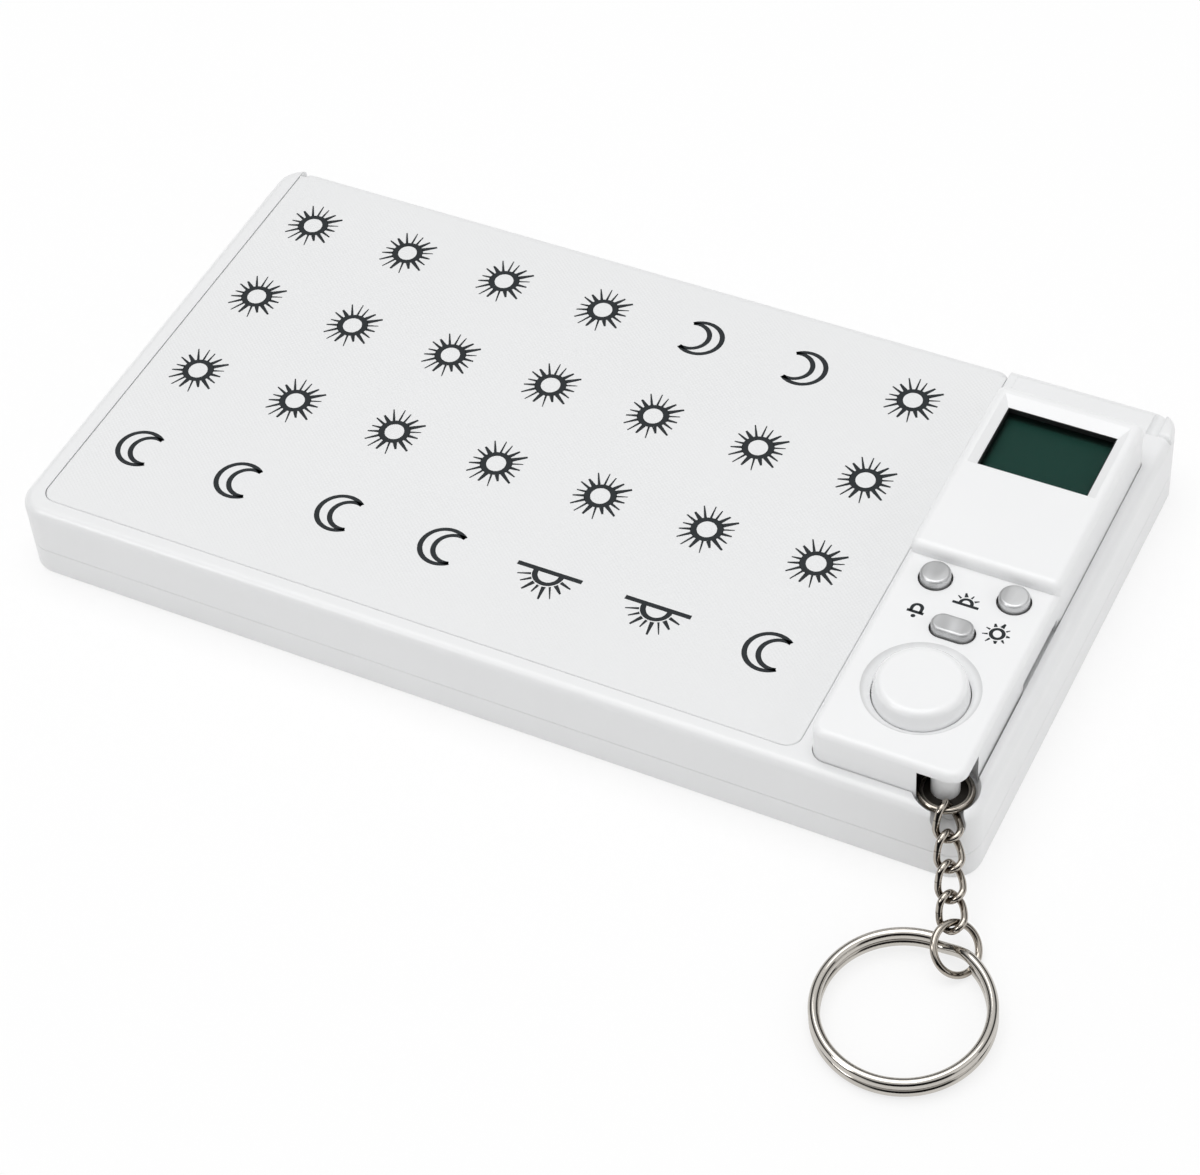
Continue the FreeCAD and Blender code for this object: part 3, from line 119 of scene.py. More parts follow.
class CaseColours(bpy.types.PropertyGroup):
    """Colours of the moulded pieces and the print."""

    shell: bpy.props.FloatVectorProperty(
        name="Shell", description="White of the case", subtype="COLOR", size=3, default=(0.84, 0.845, 0.85))
    timer: bpy.props.FloatVectorProperty(
        name="Timer", description="White of the timer", subtype="COLOR", size=3, default=(0.885, 0.89, 0.895))
    lid: bpy.props.FloatVectorProperty(
        name="Lid", description="White of the grained lid", subtype="COLOR", size=3,
        default=(0.82, 0.825, 0.83))
    ink: bpy.props.FloatVectorProperty(
        name="Ink", description="Dark grey of the printed figures", subtype="COLOR", size=3,
        default=(0.019, 0.022, 0.024))
    button: bpy.props.FloatVectorProperty(
        name="Small buttons", description="Silver grey of the three small buttons", subtype="COLOR", size=3,
        default=(0.66, 0.665, 0.67))
    glass: bpy.props.FloatVectorProperty(
        name="Display", description="Dark green of the blank display", subtype="COLOR", size=3,
        default=(0.008, 0.050, 0.037))
    nickel: bpy.props.FloatVectorProperty(
        name="Nickel", description="Warm bright metal of the key ring", subtype="COLOR", size=3,
        default=(0.60, 0.57, 0.525))
    links: bpy.props.FloatVectorProperty(
        name="Links", description="Darker metal of the links and small rings", subtype="COLOR", size=3,
        default=(0.47, 0.43, 0.38))
    # Painted shade: the dark brown that the timer's deck goes over to deep in the holes of the small buttons
    # and under the dish's rim.
    hollow_shade: bpy.props.FloatVectorProperty(
        name="Hollows", description="Dark brown deep in the hollows of the timer", subtype="COLOR", size=3,
        default=(0.030, 0.024, 0.018))


class PrintSizes(bpy.types.PropertyGroup):
    """Sizes of the figures printed on the lid."""

    pitch_x: bpy.props.FloatProperty(
        name="Column pitch", description="From one figure to the next along the case", unit="LENGTH",
        default=17.5 * MM)
    pitch_y: bpy.props.FloatProperty(
        name="Row pitch", description="From one row of figures to the next", unit="LENGTH", default=18.3 * MM)
    first_x: bpy.props.FloatProperty(
        name="First column", description="Place of the left column", unit="LENGTH", default=-66.2 * MM)
    first_y: bpy.props.FloatProperty(
        name="First row", description="Place of the front row", unit="LENGTH", default=-24.7 * MM)
    half_lift: bpy.props.FloatProperty(
        name="Half sun lift", description="How far half suns stand behind their row", unit="LENGTH",
        default=1.2 * MM)
    film: bpy.props.FloatProperty(
        name="Ink film", description="How far the ink stands on the plastic", unit="LENGTH",
        default=0.02 * MM)
    deck_drop: bpy.props.FloatProperty(
        name="Deck drop", description="From the display's top down to the button deck", unit="LENGTH",
        default=2.0 * MM)
    bell: bpy.props.FloatVectorProperty(
        name="Bell", description="Place of the alarm mark on the deck", subtype="TRANSLATION", size=2,
        default=(57.5 * MM, -13.6 * MM))
    dusk: bpy.props.FloatVectorProperty(
        name="Half sun", description="Place of the evening mark on the deck", subtype="TRANSLATION", size=2,
        default=(63.5 * MM, -10.2 * MM))
    day: bpy.props.FloatVectorProperty(
        name="Sun", description="Place of the day mark on the deck", subtype="TRANSLATION", size=2,
        default=(69.6 * MM, -13.75 * MM))


class LinerSizes(bpy.types.PropertyGroup):
    """Sizes of the black liner in the display's opening, of the black film of painted shade that lines the
    key chain's pocket, and of the painted shade in the timer's hollows.
    """

    pane_margin: bpy.props.FloatProperty(
        name="Pane margin", description="How far the pane reaches under the shell", unit="LENGTH",
        default=0.9 * MM)
    wall: bpy.props.FloatProperty(
        name="Wall", description="Thickness of the display's liner", unit="LENGTH", default=0.15 * MM)
    drop: bpy.props.FloatProperty(
        name="Drop", description="From the display's top down to the liner's edge", unit="LENGTH",
        default=0.72 * MM)
    fit: bpy.props.FloatProperty(
        name="Fit", description="Clearance of a liner in its opening", unit="LENGTH", default=0.01 * MM)
    # The pocket's liner is a painted shade: a dark film laid where the pocket only lies in shadow.
    pocket_radius: bpy.props.FloatProperty(
        name="Pocket radius", description="From the post to the pocket's wall", unit="LENGTH",
        default=4.5 * MM)
    pocket_mouth: bpy.props.FloatProperty(
        name="Pocket mouth", description="From the post to the pocket's open side", unit="LENGTH",
        default=3.3 * MM)
    pocket_height: bpy.props.FloatProperty(
        name="Pocket height", description="From the pocket's floor to its roof", unit="LENGTH",
        default=5.7 * MM)
    pocket_film: bpy.props.FloatProperty(
        name="Pocket film", description="Thickness of the pocket's liner", unit="LENGTH", default=0.025 * MM)
    pocket_start: bpy.props.FloatProperty(
        name="Pocket start", description="Where the lining of the wall begins, round the post",
        subtype="ANGLE", default=math.radians(62.0))
    pocket_end: bpy.props.FloatProperty(
        name="Pocket end", description="Where the lining of the wall ends, round the post", subtype="ANGLE",
        default=math.radians(216.0))
    # Painted shade in the holes of the small buttons: how far round them it reaches, and how deep it grows
    # fully dark.
    hole_reach: bpy.props.FloatProperty(
        name="Hole reach", description="From a small button to where its hole surely ends", unit="LENGTH",
        default=0.6 * MM)
    hole_shade_depth: bpy.props.FloatProperty(
        name="Hole fade", description="Depth at which a small button's hole is dark", unit="LENGTH",
        default=0.3 * MM)
    # Painted shade under the rim of the dish round the large button.
    dish_radius: bpy.props.FloatProperty(
        name="Dish radius", description="Rim of the dish round the large button", unit="LENGTH",
        default=8.45 * MM)
    dish_fade: bpy.props.FloatProperty(
        name="Dish fade", description="How far the shade reaches in from the dish's rim", unit="LENGTH",
        default=0.8 * MM)
    dish_shade: bpy.props.FloatProperty(
        name="Dish shade", description="Share of dark under the dish's rim", default=0.2)


class StageSettings(bpy.types.PropertyGroup):
    """Camera and light."""

    azimuth: bpy.props.FloatProperty(
        name="Azimuth", description="Camera's turn about the case", subtype="ANGLE",
        default=math.radians(29.838))
    elevation: bpy.props.FloatProperty(
        name="Elevation", description="Camera's height above the table", subtype="ANGLE",
        default=math.radians(47.536))
    roll: bpy.props.FloatProperty(
        name="Roll", description="Camera's turn about its own axis", subtype="ANGLE",
        default=math.radians(-5.038))
    place: bpy.props.FloatVectorProperty(
        name="Place", description="Where the camera stands", subtype="TRANSLATION", size=3,
        default=(172.73 * MM, -303.40 * MM, 366.91 * MM))
    lens: bpy.props.FloatProperty(name="Lens", description="Focal length in millimetres", default=99.0)
    sky: bpy.props.FloatProperty(name="Sky", description="Strength of the even light", default=0.61)
    key: bpy.props.FloatProperty(name="Key", description="Power of the large overhead lamp", default=5.9)
    glint: bpy.props.FloatProperty(
        name="Glint", description="Power of the small lamp that only shows in reflections", default=1.5)
    backdrop: bpy.props.FloatProperty(
        name="Backdrop", description="Share of plain white in the table as the camera sees it", default=0.75)


class Socket:
    """A node's output; sums and products with it add Math nodes to its tree."""

    def __init__(self, tree, output):
        self.tree = tree
        self.output = output

    def math(self, operation, first, second):
        return self.tree.add("ShaderNodeMath", {"operation": operation}, {0: first, 1: second})

    def __add__(self, other):
        return self.math("ADD", self, other)

    __radd__ = __add__

    def __mul__(self, other):
        return self.math("MULTIPLY", self, other)

    __rmul__ = __mul__

    def __sub__(self, other):
        return self.math("SUBTRACT", self, other)

    def __rsub__(self, other):
        return self.math("SUBTRACT", other, self)

    def __truediv__(self, other):
        return self.math("DIVIDE", self, other)

    def larger(self, other):
        return self.math("MAXIMUM", self, other)

    def sibling(self, name):
        """Another output of the same node."""
        return Socket(self.tree, self.output.node.outputs[name])


class Tree:
    """A node tree, with one call that adds a node, sets it and links it."""

    def __init__(self, tree):
        self.tree = tree

    def add(self, kind, settings=None, inputs=None, output=0):
        node = self.tree.nodes.new(kind)
        for name, value in (settings or {}).items():
            if name == "stops":
                self.set_stops(node.color_ramp, value)
            else:
                setattr(node, name, value)
        for name, value in (inputs or {}).items():
            self.feed(node.inputs[name], value)
        return Socket(self, node.outputs[output]) if node.outputs else None

    def feed(self, socket, value):
        if isinstance(value, Socket):
            self.tree.links.new(value.output, socket)
        else:
            socket.default_value = value

    @staticmethod
    def set_stops(ramp, stops):
        while len(ramp.elements) < len(stops):
            ramp.elements.new(1.0)
        for element, (place, shade) in zip(ramp.elements, stops):
            element.position = place
            element.color = (shade, shade, shade, 1.0)


class Finish(Tree):
    """A surface material on the piece's own coordinates."""

    def __init__(self, name):
        self.material = bpy.data.materials.new(name)
        self.material.use_nodes = True
        super().__init__(self.material.node_tree)
        self.tree.nodes.clear()
        self.place = self.add("ShaderNodeTexCoord", output="Object")

    def noise(self, scale, detail=2.0, roughness=0.5, stretch=None):
        place = self.place
        if stretch:
            place = self.add("ShaderNodeMapping", inputs={"Vector": place, "Scale": stretch})
        return self.add("ShaderNodeTexNoise", inputs={"Vector": place, "Scale": scale, "Detail": detail,
                                                      "Roughness": roughness})

    def hatching(self, pitch, turn):
        """Even lines across the piece, 0 to 1."""
        turned = self.add("ShaderNodeMapping", inputs={"Vector": self.place, "Rotation": (0.0, 0.0, turn)})
        along = self.add("ShaderNodeSeparateXYZ", inputs={0: turned})
        return self.add("ShaderNodeMath", {"operation": "SINE"}, {0: along * (math.tau / pitch)}) * 0.5 + 0.5

    def blend(self, first, second, factor):
        """The first colour, going over to the second where factor is 1."""
        return self.add("ShaderNodeMix", {"data_type": "RGBA"}, {"Factor": factor, 6: first, 7: second},
                        output=2)

    def tint(self, colour, factor, shade):
        """The colour, changed to shade times itself where factor is 1."""
        return self.blend((*colour, 1.0), (*(channel * shade for channel in colour), 1.0), factor)

    def fade(self, value, start, end):
        """From 0 to 1, evenly begun and ended, as the value goes from start to end."""
        return self.add("ShaderNodeMapRange", {"interpolation_type": "SMOOTHSTEP"},
                        {"Value": value, "From Min": start, "From Max": end, "To Min": 0.0, "To Max": 1.0})

    def between(self, value, low, high):
        """1 between two values, else 0."""
        return self.fade(value, low - WELD, low) - self.fade(value, high, high + WELD)

    def recess(self, reach):
        """How closed in a spot is within reach, from 0 in the open to 1."""
        return 1.0 - self.add("ShaderNodeAmbientOcclusion", {"samples": 16}, {"Distance": reach}, output="AO")

    def soft_edge(self, radius):
        return self.add("ShaderNodeBevel", {"samples": 8}, {"Radius": radius})

    def bump(self, height, depth, strength=1.0, normal=None):
        inputs = {"Height": height, "Distance": depth, "Strength": strength}
        if normal:
            inputs["Normal"] = normal
        return self.add("ShaderNodeBump", inputs=inputs)

    def surface(self, **inputs):
        named = {name.replace("_", " ").title().replace("Ior", "IOR"): value
                 for name, value in inputs.items()}
        shader = self.add("ShaderNodeBsdfPrincipled", inputs=named)
        self.add("ShaderNodeOutputMaterial", inputs={"Surface": shader})
        return self.material


def shell_plastic(name, colour, roughness, coat, edge=0.12 * MM, grain=0.002 * MM, hollows=None):
    """Satin moulded plastic: a barely clouded white, soft edges and a polished-tool skin.

    Hollows, where given, is the colour of a painted shade and a function that finds how far a spot goes over
    to it.
    """
    finish = Finish(name)
    cloud = finish.noise(scale=55.0, detail=3.0)
    skin = finish.noise(scale=1900.0, roughness=0.6)
    normal = finish.bump(skin, grain, strength=0.25, normal=finish.soft_edge(edge))
    base = finish.tint(colour, cloud, shade=0.965)
    if hollows:
        dark, share = hollows
        base = finish.blend(base, (*dark, 1.0), share(finish))
    return finish.surface(base_color=base, roughness=roughness + 0.10 * (cloud - 0.5), coat_weight=coat,
                          coat_roughness=0.16, specular_ior_level=0.5, normal=normal)


def deck_hollow_shade(finish, sizes, deck):
    """Share of painted shade in the holes of the small buttons, darker deeper down, and a little of it under
    the rim of the dish.
    """
    x = finish.add("ShaderNodeSeparateXYZ", inputs={0: finish.place})
    y = x.sibling(1)
    depth = deck - x.sibling(2)
    columns = finish.between(x, LEFT_LOW.x - sizes.hole_reach, RIGHT_EDGE + sizes.hole_reach)
    rows = finish.between(y, OVAL_FRONT - sizes.hole_reach, LEFT_HIGH.y + sizes.hole_reach)
    holes = columns * rows * finish.fade(depth, WELD, sizes.hole_shade_depth)
    middle = (MAIN_LOW + MAIN_HIGH) / 2
    spot = finish.add("ShaderNodeCombineXYZ", inputs={0: x - middle.x, 1: y - middle.y})
    out = finish.add("ShaderNodeVectorMath", {"operation": "LENGTH"}, {0: spot}, output="Value")
    rim = finish.fade(out, sizes.dish_radius - sizes.dish_fade, sizes.dish_radius)
    wall = finish.between(out, MAIN_HIGH.x - middle.x, sizes.dish_radius) * finish.fade(depth, 0.0, LIP)
    return holes.larger(rim * wall * sizes.dish_shade)


def grained_plastic(name, colour, roughness, depth=0.025 * MM, pitch=0.5 * MM, edge=0.15 * MM):
    """Fine moulded grain with a faint woven hatching that comes and goes, as on the lid."""
    finish = Finish(name)
    cloud = finish.noise(scale=38.0, detail=3.0)
    grain = finish.noise(scale=2600.0, detail=3.0, roughness=0.7)
    pits = finish.add("ShaderNodeTexVoronoi", inputs={"Vector": finish.place, "Scale": 3200.0})
    hatch = finish.hatching(pitch, math.radians(38.0)) + finish.hatching(pitch, math.radians(-52.0))
    height = grain * 0.6 + pits * 0.4 + hatch * finish.noise(scale=70.0) * 0.9
    normal = finish.bump(height, depth, strength=0.6, normal=finish.soft_edge(edge))
    shade = cloud * 0.6 + grain * 0.4
    return finish.surface(base_color=finish.tint(colour, shade, shade=0.955),
                          roughness=roughness + 0.12 * (grain - 0.5), specular_ior_level=0.42, normal=normal)


def print_ink(name, colour):
    """Screen-printed ink, with a slightly uneven film."""
    finish = Finish(name)
    film = finish.noise(scale=900.0, detail=3.0, roughness=0.6)
    return finish.surface(base_color=finish.tint(colour, film, shade=1.7), roughness=0.5 + 0.2 * film,
                          specular_ior_level=0.15)


def bright_metal(name, colour, roughness, scratch=0.0015 * MM, recess=0.0):
    """Plated metal with fine drawing lines and some tarnish at random, and a painted shade that darkens it to
    brown-black where it is closed in within recess.
    """
    finish = Finish(name)
    tarnish = finish.noise(scale=420.0, detail=4.0, roughness=0.6)
    lines = finish.noise(scale=900.0, stretch=(1.0, 1.0, 0.15))
    normal = finish.bump(lines, scratch, strength=0.2)
    base = finish.tint(colour, tarnish, shade=0.80)
    if recess:
        # Painted shade: brown-black where the metal's own turns and its neighbours close it in.
        base = finish.blend(base, RECESS_SHADE, finish.fade(finish.recess(recess), start=0.1, end=0.75))
    return finish.surface(base_color=base, metallic=1.0, roughness=roughness + 0.08 * tarnish, normal=normal)


def silver_plastic(name, colour, edge=0.12 * MM):
    """Metallic-painted plastic of the small buttons, with soft darker streaks in its colour: partly brushing,
    partly a painted sheen that stands in for the shading of a domed top.
    """
    finish = Finish(name)
    streak_and_sheen = finish.noise(scale=420.0, detail=1.0, roughness=0.4, stretch=(1.0, 0.35, 1.0))
    flake = finish.noise(scale=5200.0)
    # Darker where the streaks run: partly brushing, partly painted sheen.
    dark = finish.fade(streak_and_sheen, start=0.35, end=0.65)
    return finish.surface(base_color=finish.tint(colour, dark, shade=0.72), metallic=0.5,
                          roughness=0.3 + 0.1 * flake, coat_weight=0.2, coat_roughness=0.2,
                          normal=finish.soft_edge(edge))


def dark_display(name, colour, low, high):
    """Blank liquid-crystal cell: dark green, with a painted shadow of the opening's walls that fades it to
    black along its left and back edges.
    """
    finish = Finish(name)
    cloud = finish.noise(scale=90.0)
    spot = finish.add("ShaderNodeSeparateXYZ", inputs={0: finish.place})
    left = (spot - low.x) / DISPLAY_SHADOW_REACH
    back = (high.y - spot.sibling(1)) / DISPLAY_SHADOW_REACH
    inner = finish.add("ShaderNodeMath", {"operation": "SMOOTH_MIN"}, {0: left, 1: back, 2: 0.4})
    dark = (1.0 - finish.fade(inner, start=0.0, end=1.0)) * 0.85 + cloud * 0.15
    return finish.surface(base_color=finish.tint(colour, dark, shade=0.12), roughness=0.42 + 0.08 * cloud,
                          specular_ior_level=0.12)


def clear_window(name, wave=0.002 * MM):
    """Thin clear plastic pane over the display."""
    finish = Finish(name)
    ripple = finish.noise(scale=140.0, detail=1.0)
    normal = finish.bump(ripple, wave, strength=0.3)
    return finish.surface(base_color=(0.02, 0.03, 0.028, 1.0), roughness=0.05 + 0.05 * ripple, alpha=0.05,
                          specular_ior_level=0.4, normal=normal)


def lacquered_board(name):
    """Green lacquer over copper tracks."""
    finish = Finish(name)
    tracks = finish.add("ShaderNodeTexBrick", {"offset": 0.35}, {
        "Vector": finish.place, "Scale": 420.0, "Mortar Size": 0.12, "Color1": (0.012, 0.10, 0.045, 1.0),
        "Color2": (0.016, 0.12, 0.05, 1.0), "Mortar": (0.03, 0.19, 0.08, 1.0)})
    grain = finish.noise(scale=1500.0)
    return finish.surface(base_color=tracks, roughness=0.35 + 0.15 * grain, coat_weight=0.3,
                          coat_roughness=0.2)


def dull_rubber(name, colour, depth=0.01 * MM):
    """Matte black moulding or rubber."""
    finish = Finish(name)
    grain = finish.noise(scale=1800.0, detail=3.0)
    normal = finish.bump(grain, depth, strength=0.5)
    return finish.surface(base_color=finish.tint(colour, grain, shade=0.7), roughness=0.6 + 0.2 * grain,
                          normal=normal)


def wear(material, *nodes):
    """Give CAD nodes one material."""
    for node in nodes:
        slots = frame["nodes"][node].data.materials
        slots.clear()
        slots.append(material)


def placed(name, mesh):
    piece = bpy.data.objects.new(name, mesh)
    bpy.context.scene.collection.objects.link(piece)
    return piece


def baked(carrier, name):
    """The carrier with its modifiers applied, as a plain piece in its stead."""
    graph = bpy.context.evaluated_depsgraph_get()
    ready = carrier.evaluated_get(graph)
    mesh = bpy.data.meshes.new_from_object(ready, preserve_all_data_layers=True, depsgraph=graph)
    source = carrier.data
    bpy.data.objects.remove(carrier)
    bpy.data.meshes.remove(source)
    mesh.name = name
    return placed(name, mesh)


def on_slopes(edge):
    """Whether an edge lies on the slopes round the display's opening."""
    low, high = PANE_LOW - SLOPE_REACH, PANE_HIGH + SLOPE_REACH
    return all(low.x < end.co.x < high.x and low.y < end.co.y < high.y and end.co.z > high.z
               for end in edge.verts)


def soften(shape):
    """Shade a shape smooth, but for the edges where it turns by more than a crease."""
    for face in shape.faces:
        face.smooth = True
    for edge in shape.edges:
        crease = SLOPE_CREASE if on_slopes(edge) else CREASE
        edge.smooth = edge.calc_face_angle(math.pi) < crease


def skin(material, *nodes):
    """Stand welded, smooth-shaded copies in for CAD nodes, whose facets would show on rounded edges."""
    for node in nodes:
        shape = bmesh.new()
        shape.from_mesh(frame["nodes"][node].data)
        bmesh.ops.remove_doubles(shape, verts=shape.verts, dist=WELD)
        soften(shape)
        mesh = bpy.data.meshes.new(node + "_welded")
        shape.to_mesh(mesh)
        shape.free()
        if "custom_normal" in mesh.attributes:
            mesh.attributes.remove(mesh.attributes["custom_normal"])
        mesh.materials.clear()
        mesh.materials.append(material)
        carrier = placed(node + "_carrier", mesh)
        even = carrier.modifiers.new("even_normals", "WEIGHTED_NORMAL")
        even.keep_sharp = True
        piece = baked(carrier, node + "_skin")
        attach(piece, frame["nodes"][node]["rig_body"])
        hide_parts(node)


class FigureTree(Tree):
    """Geometry Nodes that print one figure at every vertex of a mesh."""

    def __init__(self, name, sizes):
        group = bpy.data.node_groups.new(name, "GeometryNodeTree")
        super().__init__(group)
        group.interface.new_socket("Geometry", in_out="INPUT", socket_type="NodeSocketGeometry")
        group.interface.new_socket("Geometry", in_out="OUTPUT", socket_type="NodeSocketGeometry")
        self.keys = {}
        for label, value in sizes.items():
            socket = group.interface.new_socket(label, in_out="INPUT", socket_type="NodeSocketFloat")
            self.keys[socket.identifier] = value
        self.source = group.nodes.new("NodeGroupInput")
        self.target = group.nodes.new("NodeGroupOutput")
        self.pieces = []

    def size(self, label):
        return Socket(self, self.source.outputs[label])

    def ribbon(self, radius, width, start, sweep, shift_x=0.0, shift_y=0.0, steps=65):
        """A flat band of uneven width along an arc about the figure's middle, moved by the shifts."""
        grid = self.add("GeometryNodeMeshGrid", inputs={"Size X": 1.0, "Size Y": 1.0, "Vertices X": steps,
                                                        "Vertices Y": 2})
        along = self.add("ShaderNodeSeparateXYZ", inputs={0: self.add("GeometryNodeInputPosition")})
        angle = (along + 0.5) * sweep + start
        wave = self.add("ShaderNodeMath", {"operation": "SINE"}, {0: angle * INK_SWELLS + INK_SWELL_START})
        swell = wave * INK_SWELL_SHARE + 1.0
        reach = along.sibling(1) * width * swell * -1.0 + radius
        x = self.add("ShaderNodeMath", {"operation": "COSINE"}, {0: angle}) * reach + shift_x
        y = self.add("ShaderNodeMath", {"operation": "SINE"}, {0: angle}) * reach + shift_y
        spot = self.add("ShaderNodeCombineXYZ", inputs={0: x, 1: y})
        band = self.add("GeometryNodeSetPosition", inputs={"Geometry": grid, "Position": spot})
        self.pieces.append(band)

    def bar(self, length, width, x, y, turn=0.0):
        """A flat straight stroke."""
        grid = self.add("GeometryNodeMeshGrid", inputs={"Size X": length, "Size Y": width, "Vertices X": 2,
                                                        "Vertices Y": 2})
        spot = self.add("ShaderNodeCombineXYZ", inputs={0: x, 1: y})
        turned = self.add("GeometryNodeTransform", inputs={"Geometry": grid, "Translation": spot,
                                                           "Rotation": (0.0, 0.0, turn)})
        self.pieces.append(turned)

    def rays(self, count, radius, length, width, seed, below_only=False):
        """Strokes that start at a radius round the figure, of uneven length, width and lean."""
        ring = self.add("GeometryNodeMeshCircle", inputs={"Vertices": count, "Radius": radius})
        x = self.add("ShaderNodeSeparateXYZ", inputs={0: self.add("GeometryNodeInputPosition")})
        y = x.sibling(1)
        angle = self.add("ShaderNodeMath", {"operation": "ARCTAN2"}, {0: y, 1: x})
        turn = self.add("ShaderNodeCombineXYZ", inputs={2: angle + self.uneven(-RAY_LEAN, RAY_LEAN, seed)})
        stretch = self.add("ShaderNodeCombineXYZ", inputs={0: self.uneven(*RAY_LENGTH_SHARES, seed + 1),
                                                           1: self.uneven(*RAY_WIDTH_SHARES, seed + 2),
                                                           2: 1.0})
        grid = self.add("GeometryNodeMeshGrid", inputs={"Size X": length, "Size Y": width, "Vertices X": 2,
                                                        "Vertices Y": 2})
        along = self.add("ShaderNodeSeparateXYZ", inputs={0: self.add("GeometryNodeInputPosition")})
        narrow = 1.0 - (along / length + 0.5) * RAY_TAPER_SHARE
        spot = self.add("ShaderNodeCombineXYZ", inputs={0: along + length * 0.5,
                                                        1: along.sibling(1) * narrow})
        stroke = self.add("GeometryNodeSetPosition", inputs={"Geometry": grid, "Position": spot})
        inputs = {"Points": ring, "Instance": stroke, "Rotation": turn, "Scale": stretch}
        if below_only:
            inputs["Selection"] = self.add("ShaderNodeMath", {"operation": "LESS_THAN"},
                                           {0: y, 1: radius * -HORIZON_GAP_SHARE})
        self.pieces.append(self.add("GeometryNodeInstanceOnPoints", inputs=inputs))

    def uneven(self, low, high, seed):
        return self.add("FunctionNodeRandomValue", {"data_type": "FLOAT"},
                        {2: low, 3: high, "Seed": seed}, output=1)

    def joined(self, *pieces):
        node = self.tree.nodes.new("GeometryNodeJoinGeometry")
        for piece in pieces:
            self.tree.links.new(piece.output, node.inputs[0])
        return Socket(self, node.outputs[0])

    def print_on(self, name, spots, material, film, turn=0.0):
        """Place the figure, as a closed film, on each spot, and make the result a plain mesh."""
        flat = self.add("GeometryNodeRealizeInstances", inputs={0: self.joined(*self.pieces)})
        raised = self.add("GeometryNodeExtrudeMesh", inputs={"Mesh": flat, "Offset Scale": film,
                                                             "Individual": False})
        under = self.add("GeometryNodeFlipFaces", inputs={"Mesh": flat})
        closed = self.add("GeometryNodeMergeByDistance", inputs={"Geometry": self.joined(raised, under),
                                                                 "Distance": WELD})
        points = Socket(self, self.source.outputs["Geometry"])
        copies = self.add("GeometryNodeInstanceOnPoints", inputs={"Points": points, "Instance": closed,
                                                                  "Rotation": (0.0, 0.0, turn)})
        real = self.add("GeometryNodeRealizeInstances", inputs={0: copies})
        inked = self.add("GeometryNodeSetMaterial", inputs={"Geometry": real, "Material": material})
        self.tree.links.new(inked.output, self.target.inputs[0])
        mesh = bpy.data.meshes.new(name + "_spots")
        mesh.from_pydata([tuple(spot) for spot in spots], [], [])
        carrier = placed(name + "_carrier", mesh)
        modifier = carrier.modifiers.new("figure", "NODES")
        modifier.node_group = self.tree
        for key, value in self.keys.items():
            modifier[key] = value
        return baked(carrier, name)


SUN_SIZES = {"Ring radius": 2.0 * MM, "Ring width": 0.88 * MM, "Ray start": 2.4 * MM, "Ray length": 2.2 * MM,
             "Ray width": 0.54 * MM}
HALF_SUN_SIZES = {"Ring radius": 2.05 * MM, "Ring width": 0.76 * MM, "Ray start": 2.6 * MM,
                  "Ray length": 2.5 * MM, "Ray width": 0.5 * MM, "Horizon": 10.5 * MM}
MOON_SIZES = {"Outer radius": 3.5 * MM, "Inner radius": 2.8 * MM, "Inner shift": 1.42 * MM,
              "Stroke": 0.72 * MM, "Centring": 0.67 * MM}
DECK_SUN_SIZES = {"Ring radius": 0.9 * MM, "Ring width": 0.5 * MM, "Ray start": 1.32 * MM,
                  "Ray length": 0.75 * MM, "Ray width": 0.46 * MM}
DECK_HALF_SUN_SIZES = {"Ring radius": 0.85 * MM, "Ring width": 0.46 * MM, "Ray start": 1.24 * MM,
                       "Ray length": 0.78 * MM, "Ray width": 0.42 * MM, "Horizon": 3.9 * MM}
BELL_SIZES = {"Dome radius": 0.72 * MM, "Stroke": 0.48 * MM, "Skirt": 0.75 * MM, "Brim": 2.5 * MM,
              "Clapper": 0.32 * MM}
# Round a printed ring its width swells and thins by this share, this many times, from this angle on.
INK_SWELL_SHARE = 0.12
INK_SWELLS = 2.0
INK_SWELL_START = 0.8
# Rays lean by up to this angle, differ in length and width by these shares, and lose this share at the tip.
RAY_LEAN = 0.09
RAY_LENGTH_SHARES = (0.6, 1.12)
RAY_WIDTH_SHARES = (0.6, 1.45)
RAY_TAPER_SHARE = 0.55
# Rays of a half sun begin this share of their start radius below the horizon.
HORIZON_GAP_SHARE = 0.2


def sun_tree(name, sizes, count):
    tree = FigureTree(name, sizes)
    tree.ribbon(tree.size("Ring radius"), tree.size("Ring width"), 0.0, math.tau)
    tree.rays(count, tree.size("Ray start"), tree.size("Ray length"), tree.size("Ray width"), seed=7)
    return tree


def half_sun_tree(name, sizes, count):
    """A sun that sinks behind a line."""
    tree = FigureTree(name, sizes)
    tree.ribbon(tree.size("Ring radius"), tree.size("Ring width"), -math.pi, math.pi)
    tree.rays(count, tree.size("Ray start"), tree.size("Ray length"), tree.size("Ray width"), seed=4,
              below_only=True)
    tree.bar(tree.size("Horizon"), tree.size("Ring width"), 0.0, tree.size("Ring width") * 0.5)
    return tree


def moon_tree(name, sizes):
    """An outlined crescent whose back is to -X."""
    tree = FigureTree(name, sizes)
    outer, inner, shift = (sizes[label] for label in ("Outer radius", "Inner radius", "Inner shift"))
    horn_x = (outer ** 2 - inner ** 2 + shift ** 2) / (2 * shift)
    horn_y = math.sqrt(outer ** 2 - horn_x ** 2)
    outer_start = math.atan2(horn_y, horn_x)
    inner_start = math.atan2(horn_y, horn_x - shift)
    centring = tree.size("Centring")
    tree.ribbon(tree.size("Outer radius"), tree.size("Stroke"), outer_start, math.tau - 2 * outer_start,
                centring)
    tree.ribbon(tree.size("Inner radius"), tree.size("Stroke"), inner_start, math.tau - 2 * inner_start,
                tree.size("Inner shift") + centring)
    return tree


